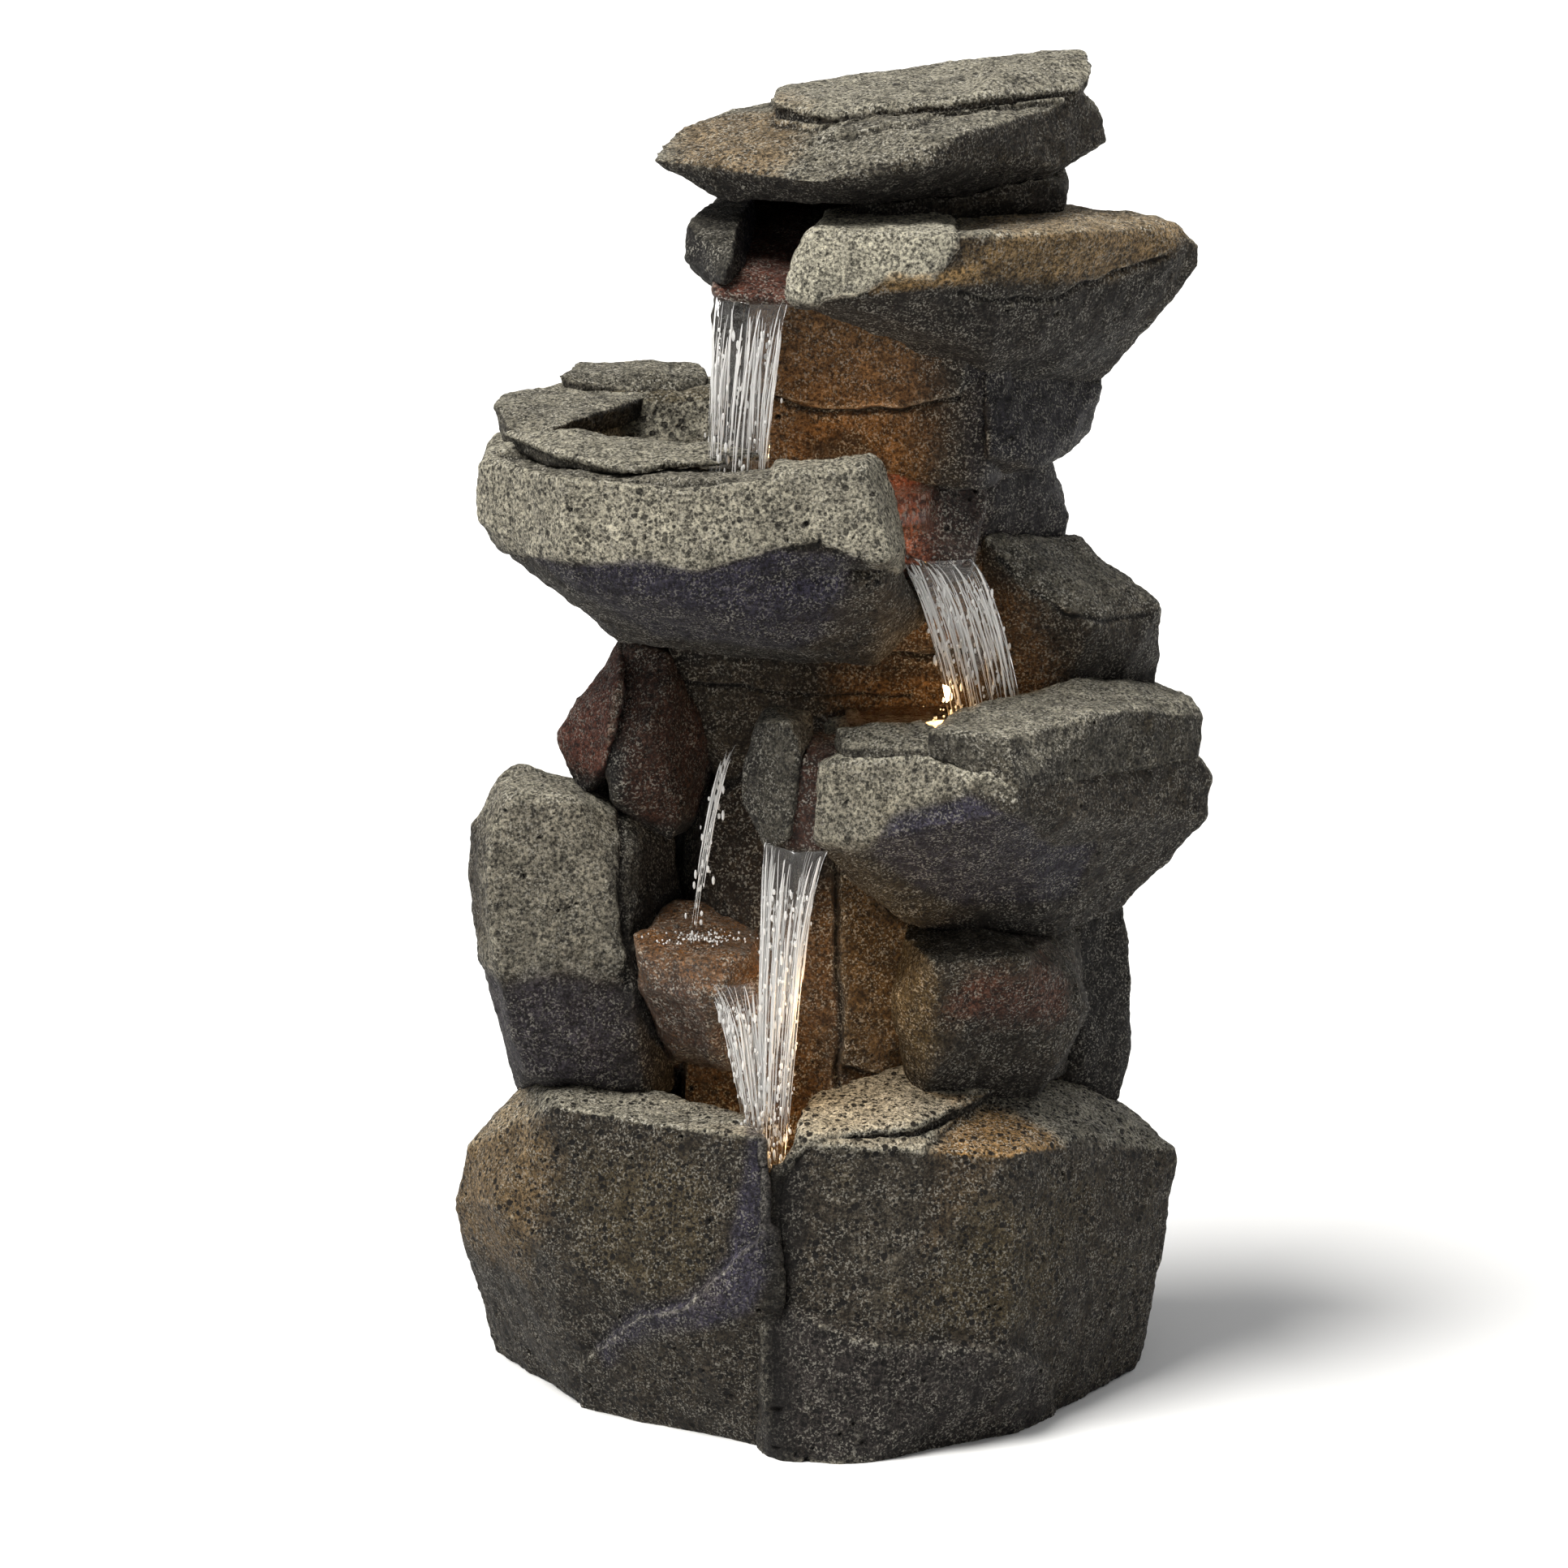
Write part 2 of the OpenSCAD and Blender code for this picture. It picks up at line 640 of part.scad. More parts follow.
module neck_stone() color("#5d5a50") difference() {
    block(neck_points);
    block(tray_points);
    block(ledge_points);
    block(cheek_points);
    block(cap_points);
    block([
        [-64, -40, 870], [50, -110, 870], [-66, 78, 870], [60, 78, 870], [-64, -40, 916], [30, -80, 916],
        [-66, 78, 916], [60, 78, 916]
    ]);
}

module cap_stone() color("#7b776a") difference() {
    union() {
        block(cap_points);
        block(cap_flake_points);
    }
    block(shrunk(cap_points, hollow_share));
}

// ---------- service door ----------

screw_x = door_w / 2 - 14;

module screw_bores() {
    for (x = [-screw_x, screw_x])
        translate([x, 60, door_z]) rotate([-90, 0, 0]) cylinder(h = 90, r = 2.6, $fn = fine);
}

module service_door() color("#4a473f") difference() {
    translate([0, door_y + 6, door_z]) cube([door_w, 12, door_h], center = true);
    for (x = [-screw_x, screw_x])
        translate([x, door_y - 10, door_z]) rotate([-90, 0, 0]) cylinder(h = 40, r = 3.2, $fn = fine);
    outlet_seat();
}

module door_gasket() color("black") difference() {
    translate([0, door_y - 1, door_z]) cube([door_w - 2, 2, door_h - 2], center = true);
    translate([0, door_y, door_z]) cube([door_w - 15, 10, door_h - 15], center = true);
}

module door_screw(x) color("black") translate([x, 0, door_z]) rotate([-90, 0, 0]) {
    translate([0, 0, door_y - 16]) cylinder(h = 30, r = 2.5, $fn = fine);
    translate([0, 0, door_y + 12]) cylinder(h = 7, r = 7, $fn = fine);
    for (a = [0 : 60 : 300]) rotate([0, 0, a]) translate([6.4, 0, door_y + 12]) cylinder(h = 7, r = 1.6, $fn = 16);
}

outlet_z = 236;

module outlet_seat() {
    translate([0, door_y - 20, outlet_z]) rotate([-90, 0, 0]) cylinder(h = 60, r = 8.05, $fn = fine);
}

module cord_outlet() color("black") translate([0, 0, outlet_z]) rotate([-90, 0, 0]) difference() {
    union() {
        translate([0, 0, door_y - 10]) cylinder(h = 29, r = 8, $fn = fine);
        translate([0, 0, door_y + 12]) cylinder(h = 5, r = 12, $fn = fine);
        translate([0, 0, door_y - 6]) cylinder(h = 6, r = 11, $fn = fine);
    }
    cylinder(h = 200, r = outlet_r, $fn = fine);
}

// ---------- pump ----------

module along_pump(y) translate([0, y + pump_y - 77, pump_z]) rotate([-90, 0, 0]) children();

module pump_housing() color("#222222") difference() {
    union() {
        translate([0, pump_y - 40, pump_z]) cube([52, 64, 54], center = true);
        for (side = [-1, 1]) for (k = [0 : 4])
            translate([side * 27, pump_y - 63 + 11 * k, pump_z]) cube([3, 5, 44], center = true);
    }
    along_pump(25) cylinder(h = 60, r = 12.5, $fn = fine);
    along_pump(20) cylinder(h = 10, r = 4, $fn = fine);
    translate([-40, 10, pump_z + 4]) rotate([0, 90, 0]) cylinder(h = 17, r = 3, $fn = fine);
}

module pump_volute() color("#262626") difference() {
    union() {
        translate([0, pump_y, pump_z]) cube([52, 16, 54], center = true);
        translate([0, pump_y, pump_z + 27]) cylinder(h = 22, r = 8, $fn = fine);
        translate([0, pump_y, pump_z + 47]) cylinder(h = 17, r = 6.1, $fn = fine);
    }
    along_pump(68) cylinder(h = 13, r = 19, $fn = fine);
    along_pump(80) cylinder(h = 3, r = 9, $fn = fine);
    along_pump(82.9) difference() {
        cylinder(h = 3, r = 9, $fn = fine);
        cylinder(h = 3, r = 4.5, $fn = fine);
        for (a = [0, 90]) rotate([0, 0, a]) translate([0, 0, 1.5]) cube([20, 2.4, 3], center = true);
    }
    translate([0, pump_y, pump_z]) cylinder(h = 80, r = 4.6, $fn = fine);
}

module pump_rotor() color("#3a3a3a") difference() {
    union() {
        along_pump(30) cylinder(h = 37.5, r = 12, $fn = fine);
        for (a = [0 : 60 : 300])
            along_pump(70) rotate([0, 0, a]) translate([9, 0, 4.5]) cube([16, 2, 9], center = true);
        along_pump(67) cylinder(h = 12, r = 4.5, $fn = fine);
    }
    along_pump(20) cylinder(h = 70, r = 1.55, $fn = fine);
}

module pump_shaft() color("silver") along_pump(21) cylinder(h = 61, r = 1.5, $fn = fine);

module pump_shaft_bushes() color("#303030") {
    along_pump(20) difference() {
        cylinder(h = 5, r = 4, $fn = fine);
        translate([0, 0, 1]) cylinder(h = 10, r = 1.5, $fn = fine);
    }
    along_pump(79.5) difference() {
        cylinder(h = 3.4, r = 4.2, $fn = fine);
        translate([0, 0, -1]) cylinder(h = 3.5, r = 1.5, $fn = fine);
    }
}

module pump_intake_cover() color("#2b2b2b") difference() {
    translate([0, pump_y + 18.5, pump_z]) cube([52, 21, 54], center = true);
    translate([0, pump_y + 16.5, pump_z]) cube([46, 19, 48], center = true);
    for (z = [-20 : 5 : 20]) if (abs(z) > 13)
        translate([0, pump_y + 28, pump_z + z]) cube([40, 6, 2.4], center = true);
    for (side = [-1, 1]) for (z = [-20 : 5 : 20])
        translate([side * 25, pump_y + 18, pump_z + z]) cube([8, 12, 2.4], center = true);
    along_pump(100) cylinder(h = 10, r = 3.1, $fn = fine);
}

module pump_flow_dial() color("#8a8a8a") {
    along_pump(99) cylinder(h = 7.2, r = 3, $fn = fine);
    along_pump(106.2) cylinder(h = 4, r = 10, $fn = fine);
    along_pump(110.2) translate([0, 0, 1.5]) cube([16, 3, 3], center = true);
}

module pump_suction_cups() color("#1c1c1c") for (x = [-20, 20]) for (y = [-6, 40])
    translate([x, y, tub_floor]) rotate_extrude($fn = fine)
        polygon([[0, 2], [7, 0], [8, 0], [8, 1.5], [3, 6], [3, 12], [0, 12]]);

// ---------- hose ----------

module riser_hose() color("#c9c9c4") pipe(hose_route, hose_r, hose_bore_r, 12);

module clamp_ring() difference() {
    union() {
        cylinder(h = 8, r = hose_r + 1.6, $fn = fine);
        translate([hose_r + 3, 0, 4]) cube([8, 9, 8], center = true);
    }
    translate([0, 0, -1]) cylinder(h = 10, r = hose_r + 0.1, $fn = fine);
}

module hose_clamps() color("silver") {
    translate([0, pump_y, 100]) clamp_ring();
    translate([30, 60, 822]) clamp_ring();
}

module top_outlet() color("#222222") translate([duct[0], duct[1], 0]) difference() {
    union() {
        translate([0, 0, 822]) cylinder(h = 70, r = 6.1, $fn = fine);
        translate([0, 0, 882]) cylinder(h = 4, r = 14, $fn = fine);
    }
    translate([0, 0, 800]) cylinder(h = 100, r = 4.6, $fn = fine);
}

// ---------- lights ----------

module at_lights() for (p = light_places) translate(p) children();

module light_housings() color("#1f1f1f") at_lights() difference() {
    cylinder(h = light_h, r = light_r, $fn = fine);
    translate([0, 0, 4]) cylinder(h = light_h, r = light_r - 4, $fn = fine);
    translate([0, 10, 8]) rotate([-90, 0, 0]) cylinder(h = 20, r = lead_r + 0.3, $fn = fine);
}

module light_boards() color("#e8e4d0") at_lights() {
    translate([0, 0, 4]) cylinder(h = 1.6, r = light_r - 4.5, $fn = fine);
    for (a = [0 : 120 : 240]) rotate([0, 0, a]) translate([6, 0, 6.4]) cube([3.5, 3.5, 1.6], center = true);
}

module light_seals() color("#111111") at_lights() translate([0, 0, light_h - 5]) difference() {
    cylinder(h = 1.5, r = light_r - 4.1, $fn = fine);
    translate([0, 0, -1]) cylinder(h = 4, r = light_r - 6.5, $fn = fine);
}

module light_lenses() color([1, 0.85, 0.5, 0.5]) at_lights()
    translate([0, 0, light_h - 3.5]) cylinder(h = 3.5, r = light_r - 4.2, $fn = fine);

// ---------- splice box and leads ----------

box_place = [-72, 56, 240];

module splice_box() color("#2a2a2a") translate(box_place) difference() {
    cube([34, 44, 62], center = true);
    translate([3, 0, 0]) cube([34, 38, 56], center = true);
    translate([10, -10, 20]) cylinder(h = 20, r = lead_r + 0.7, $fn = fine);
    translate([10, 4, 20]) cylinder(h = 20, r = lead_r + 0.7, $fn = fine);
    translate([-8, -6, -40]) cylinder(h = 20, r = lead_r + 0.7, $fn = fine);
    translate([6, 10, -40]) cylinder(h = 20, r = lead_r + 0.7, $fn = fine);
}

module splice_lid() color("#303030") translate(box_place) difference() {
    translate([18.6, 0, 0]) cube([3, 44, 62], center = true);
    for (y = [-18, 18]) for (z = [-26, 26])
        translate([0, y, z]) rotate([0, 90, 0]) cylinder(h = 40, r = 1.3, $fn = 24);
}

module splice_screws() color("silver") translate(box_place) for (y = [-18, 18]) for (z = [-26, 26])
    translate([17.2, y, z]) rotate([0, 90, 0]) {
        cylinder(h = 3, r = 1.2, $fn = 24);
        translate([0, 0, 3]) cylinder(h = 1.4, r = 2.4, $fn = 24);
    }

module pump_lead() color("#151515") swept(pump_route, lead_r);
module light_lead_upper() color("#151515") swept(upper_route, lead_r);
module light_lead_middle() color("#151515") swept(middle_route, lead_r);
module light_lead_base() color("#151515") swept(base_route, lead_r);

// ---------- nodes ----------

water_tub();
tub_feet();
boulder_front_left();
boulder_front_right();
boulder_rear_left();
boulder_rear_right();
column_lower();
column_middle();
column_upper();
boulder_left_tall();
boulder_right_red();
boulder_right_rear();
cascade_ledge();
shard_left();
shard_large();
middle_bowl();
middle_lip();
finger_stone();
middle_rim_slab();
middle_rim_stone();
bulge_stone();
upper_bowl();
upper_chute();
upper_slab_front();
upper_slab_left();
upper_slab_back();
shoulder_stone();
spout_tray();
spout_cheek();
ledge_stone();
neck_stone();
cap_stone();
service_door();
door_gasket();
door_screw(-screw_x);  // door_screw_left
door_screw(screw_x);  // door_screw_right
pump_housing();
pump_volute();
pump_intake_cover();
pump_rotor();
pump_shaft();
pump_shaft_bushes();
pump_flow_dial();
pump_suction_cups();
riser_hose();
hose_clamps();
top_outlet();
light_housings();
light_boards();
light_lenses();
light_seals();
splice_box();
splice_lid();
splice_screws();
pump_lead();
light_lead_upper();
light_lead_middle();
light_lead_base();
cord_outlet();
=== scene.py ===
import json
import math

import bmesh
import bpy
import numpy as np
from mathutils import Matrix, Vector


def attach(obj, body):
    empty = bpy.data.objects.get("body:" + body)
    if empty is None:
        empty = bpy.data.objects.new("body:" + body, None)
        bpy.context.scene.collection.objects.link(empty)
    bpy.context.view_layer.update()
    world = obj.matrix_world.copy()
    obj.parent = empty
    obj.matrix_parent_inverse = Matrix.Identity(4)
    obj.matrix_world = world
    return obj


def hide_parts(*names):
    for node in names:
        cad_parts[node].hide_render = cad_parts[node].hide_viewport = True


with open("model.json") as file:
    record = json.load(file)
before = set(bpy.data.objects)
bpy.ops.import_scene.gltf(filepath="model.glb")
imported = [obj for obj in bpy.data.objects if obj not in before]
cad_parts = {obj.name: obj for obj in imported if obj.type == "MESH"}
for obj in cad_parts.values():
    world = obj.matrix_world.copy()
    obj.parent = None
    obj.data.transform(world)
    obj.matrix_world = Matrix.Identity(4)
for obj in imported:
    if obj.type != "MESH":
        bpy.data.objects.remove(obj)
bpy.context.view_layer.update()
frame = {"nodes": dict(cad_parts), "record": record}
nodes = frame["nodes"]
record = frame["record"]
body_of = {n: b for b, names in record["behaviour"]["bodies"].items() for n in names}
slot_of = {s["node"]: s["material_slot"] for s in record["subparts"]}
MM = 0.001
scene = bpy.context.scene
scene.view_settings.view_transform = "Standard"

# ------------------------------------------------------------------ noise


def mixed(ix, iy, iz, seed):
    h = ix * np.uint32(73856093) ^ iy * np.uint32(19349663) ^ iz * np.uint32(83492791)
    h = h ^ np.uint32(seed * 2654435761 & 0xFFFFFFFF)
    h = (h ^ (h >> np.uint32(13))) * np.uint32(0x5BD1E995)
    h = (h ^ (h >> np.uint32(15))) * np.uint32(0x27D4EB2F)
    return h ^ (h >> np.uint32(13))


def noise(p, scale, seed=0):
    """Smooth noise, about -1 to 1. p in metres, scale = size of a feature in metres."""
    q = (p / scale + 57.3 + seed * 3.17).astype(np.float32)
    i = np.floor(q)
    f = q - i
    i = i.astype(np.int64).astype(np.uint32)
    u = f * f * f * (f * (f * 6 - 15) + 10)
    out = np.zeros(len(p), np.float32)
    for dx in (0, 1):
        wx = u[:, 0] if dx else 1 - u[:, 0]
        for dy in (0, 1):
            wy = wx * (u[:, 1] if dy else 1 - u[:, 1])
            for dz in (0, 1):
                w = wy * (u[:, 2] if dz else 1 - u[:, 2])
                h = mixed(i[:, 0] + np.uint32(dx), i[:, 1] + np.uint32(dy), i[:, 2] + np.uint32(dz), seed)
                slope = [((h >> np.uint32(k)) & np.uint32(1023)).astype(np.float32) / 511.5 - 1 for k in (0, 10, 20)]
                g = slope[0] * (f[:, 0] - dx)
                g += slope[1] * (f[:, 1] - dy)
                g += slope[2] * (f[:, 2] - dz)
                out += w * g
    return out * 1.6


def fbm(p, scale, octaves=4, seed=0, gain=0.5):
    total, amp, norm = 0, 1.0, 0
    for k in range(octaves):
        total = total + amp * noise(p, scale / 2 ** k, seed + 11 * k)
        norm += amp
        amp *= gain
    return total / norm


def pits(p, cell, seed, chance, small, large):
    """Round holes: 0 outside, up to 1 at the bottom."""
    q = p / cell
    i = np.floor(q).astype(np.int64)
    out = np.zeros(len(p), np.float32)
    for dx in (-1, 0, 1):
        for dy in (-1, 0, 1):
            for dz in (-1, 0, 1):
                c = i + (dx, dy, dz)
                u = c.astype(np.uint32)
                h = mixed(u[:, 0], u[:, 1], u[:, 2], seed)
                k = mixed(u[:, 0], u[:, 1], u[:, 2], seed + 5)
                at = np.stack([(h >> np.uint32(s)) & np.uint32(1023) for s in (0, 10, 20)], 1) / 1023.0
                on = (k & np.uint32(1023)) / 1023.0 < chance
                r = small + (large - small) * (((k >> np.uint32(10)) & np.uint32(1023)) / 1023.0) ** 2
                d = np.linalg.norm((c + at - q) * cell, axis=1)
                b = np.clip(1 - (d / r) ** 2, 0, 1)
                out = np.maximum(out, np.where(on, b * (0.5 + 0.5 * r / large), 0))
    return out


def step(a, b, x):
    t = np.clip((x - a) / (b - a), 0, 1)
    return t * t * (3 - 2 * t)


def mix(a, b, t):
    return a + (b - a) * (t[:, None] if getattr(a, "ndim", 1) > 1 or getattr(b, "ndim", 1) > 1 else t)


def srgb(r, g, b):
    """A colour on the screen's 0 to 255 scale, as linear numbers."""
    c = np.array([r, g, b]) / 255.0
    return np.where(c <= 0.04045, c / 12.92, ((c + 0.055) / 1.055) ** 2.4)


# ------------------------------------------------------------------ mesh helpers


def arrays(me):
    n = len(me.vertices)
    co = np.empty(n * 3, np.float32)
    me.vertices.foreach_get("co", co)
    no = np.empty(n * 3, np.float32)
    me.vertex_normals.foreach_get("vector", no)
    return co.reshape(-1, 3), no.reshape(-1, 3)


def edges(me):
    e = np.empty(len(me.edges) * 2, np.int32)
    me.edges.foreach_get("vertices", e)
    return e.reshape(-1, 2)


def put(me, co):
    me.vertices.foreach_set("co", np.ascontiguousarray(co, np.float32).ravel())
    me.update()


def smooth_flags(me, on=True):
    me.polygons.foreach_set("use_smooth", np.full(len(me.polygons), on))
    me.update()


def linked(name, me):
    o = bpy.data.objects.new(name, me)
    scene.collection.objects.link(o)
    return o


def around(co, e, values):
    """Mean of each vertex's neighbours."""
    n = len(co)
    count = np.bincount(e.ravel(), minlength=n).clip(1)
    if values.ndim == 1:
        s = np.bincount(e[:, 0], values[e[:, 1]], n) + np.bincount(e[:, 1], values[e[:, 0]], n)
        return s / count
    return np.stack([around(co, e, values[:, k]) for k in range(values.shape[1])], 1)


def apply_modifiers(o):
    dg = bpy.context.evaluated_depsgraph_get()
    me = bpy.data.meshes.new_from_object(o.evaluated_get(dg))
    o.modifiers.clear()
    old = o.data
    o.data = me
    bpy.data.meshes.remove(old)
    return o


# Points of a convex lump that fills the slot between the rim and the belly of the upper bowl, in mm
LUMP = [
    (-234, -84, 648), (-192, -172, 654), (-100, -200, 654), (-40, -196, 656), (-220, -84, 628), (-186, -158, 628),
    (-92, -196, 626), (-40, -190, 626), (-200, 36, 646), (-196, 36, 628), (-60, 40, 646), (-40, -60, 630),
]


def rough_block(node, convex, voxel, rounds):
    """The CAD node's outside as an even mesh with softened edges."""
    bm = bmesh.new()
    bm.from_mesh(nodes[node].data)
    bm.transform(nodes[node].matrix_world)
    bmesh.ops.remove_doubles(bm, verts=bm.verts, dist=1e-5)
    if convex:
        done = bmesh.ops.convex_hull(bm, input=bm.verts)
        keep = {f for f in done["geom"] if isinstance(f, bmesh.types.BMFace)}
        bmesh.ops.delete(bm, geom=[f for f in bm.faces if f not in keep], context="FACES")
        bmesh.ops.delete(bm, geom=[v for v in bm.verts if not v.link_faces], context="VERTS")
    else:
        bm.verts.ensure_lookup_table()
        seen, parts = set(), []
        for v in bm.verts:
            if v.index in seen:
                continue
            stack, part = [v], []
            seen.add(v.index)
            while stack:
                w = stack.pop()
                part.append(w)
                for e in w.link_edges:
                    x = e.other_vert(w)
                    if x.index not in seen:
                        seen.add(x.index)
                        stack.append(x)
            parts.append(part)

        def size(part):
            c = np.array([v.co for v in part])
            return float(np.prod(c.max(0) - c.min(0)))

        parts.sort(key=size)
        bmesh.ops.delete(bm, geom=[v for part in parts[:-1] for v in part], context="VERTS")
    if node == "upper_bowl":
        bmesh.ops.convex_hull(bm, input=[bm.verts.new((x * MM, y * MM, z * MM)) for x, y, z in LUMP])
    me = bpy.data.meshes.new(node + "_rock")
    bm.to_mesh(me)
    bm.free()
    o = linked("stone_" + node, me)
    m = o.modifiers.new("r", "REMESH")
    m.mode = "VOXEL"
    m.voxel_size = voxel
    apply_modifiers(o)
    m = o.modifiers.new("s", "SMOOTH")
    m.factor = 0.6
    m.iterations = rounds
    m = o.modifiers.new("d", "SUBSURF")
    m.levels = m.render_levels = 1
    apply_modifiers(o)
    return o


# ------------------------------------------------------------------ stone shapes and colours

DARK = srgb(46, 42, 40)
BROWN = srgb(78, 69, 57)
GREY = srgb(98, 93, 82)
PALE = srgb(186, 180, 160)
PURPLE = srgb(70, 66, 84)
SLATE = srgb(50, 47, 54)
OCHRE = srgb(150, 112, 56)
GOLD = srgb(176, 142, 92)
RED = srgb(118, 66, 50)
RUST = srgb(92, 54, 38)
# Warm amber painted as the glow of the LED lamps on the stone
PAINTED_GLOW_AMBER = srgb(134, 98, 60)
OLIVE = srgb(92, 78, 48)
# Near-black painted shade, for pits, grooves and the dark recess behind the falls
SHADE_BLACK = srgb(20, 17, 16)

# For each stone: whether it is one convex block, base colour, how pitted, how pale its top is painted (dry-brush
# paint and painted top light), how much it is broken into facets, how wet
STONES = {
    "cap_stone": (False, BROWN, 0.7, 0.8, 0.6, 0.0),
    "neck_stone": (False, BROWN, 0.3, 0.5, 0.8, 0.0),
    "ledge_stone": (True, BROWN, 0.5, 0.9, 0.7, 0.0),
    "spout_tray": (False, RUST, 0.1, 0.0, 0.2, 0.7),
    "spout_cheek": (True, DARK, 0.3, 0.3, 0.5, 0.2),
    "column_upper": (True, BROWN, 0.2, 0.0, 0.8, 0.3),
    "shoulder_stone": (True, SLATE, 0.2, 0.2, 0.7, 0.1),
    "upper_bowl": (False, BROWN, 0.8, 0.8, 0.4, 0.0),
    "upper_chute": (True, RED, 0.2, 0.0, 0.3, 0.7),
    "upper_slab_front": (True, GREY, 0.6, 0.7, 0.5, 0.0),
    "upper_slab_left": (True, GREY, 0.5, 0.8, 0.6, 0.0),
    "upper_slab_back": (True, GREY, 0.5, 0.7, 0.5, 0.0),
    "column_middle": (True, BROWN, 0.2, 0.0, 0.8, 0.2),
    "bulge_stone": (True, BROWN, 0.4, 0.6, 0.8, 0.1),
    "middle_bowl": (False, BROWN, 0.7, 1.1, 0.5, 0.0),
    "middle_rim_slab": (True, GREY, 0.6, 0.8, 0.4, 0.0),
    "middle_rim_stone": (True, GREY, 0.6, 0.9, 0.6, 0.0),
    "finger_stone": (True, GREY, 0.5, 0.4, 0.5, 0.1),
    "middle_lip": (True, RUST, 0.2, 0.0, 0.3, 0.7),
    "shard_left": (True, DARK, 0.3, 0.2, 0.7, 0.1),
    "shard_large": (True, DARK, 0.3, 0.1, 0.8, 0.1),
    "boulder_left_tall": (True, BROWN, 0.7, 0.6, 0.6, 0.0),
    # cascade_ledge and column_lower take the painted LED glow amber as their base colour
    "cascade_ledge": (True, PAINTED_GLOW_AMBER, 0.2, 0.0, 1.4, 1.0),
    "column_lower": (False, PAINTED_GLOW_AMBER, 0.4, 0.0, 1.2, 0.8),
    "boulder_right_red": (True, BROWN, 0.4, 0.2, 0.8, 0.0),
    "boulder_right_rear": (True, DARK, 0.4, 0.2, 0.7, 0.0),
    "boulder_front_left": (True, BROWN, 1.0, 0.9, 0.45, 0.0),
    "boulder_front_right": (False, BROWN, 1.0, 0.9, 0.45, 0.0),
    "boulder_rear_left": (True, BROWN, 0.8, 0.7, 0.5, 0.0),
    "boulder_rear_right": (True, BROWN, 0.8, 0.7, 0.5, 0.0),
    "service_door": (False, BROWN, 0.2, 0.3, 0.2, 0.0),
}

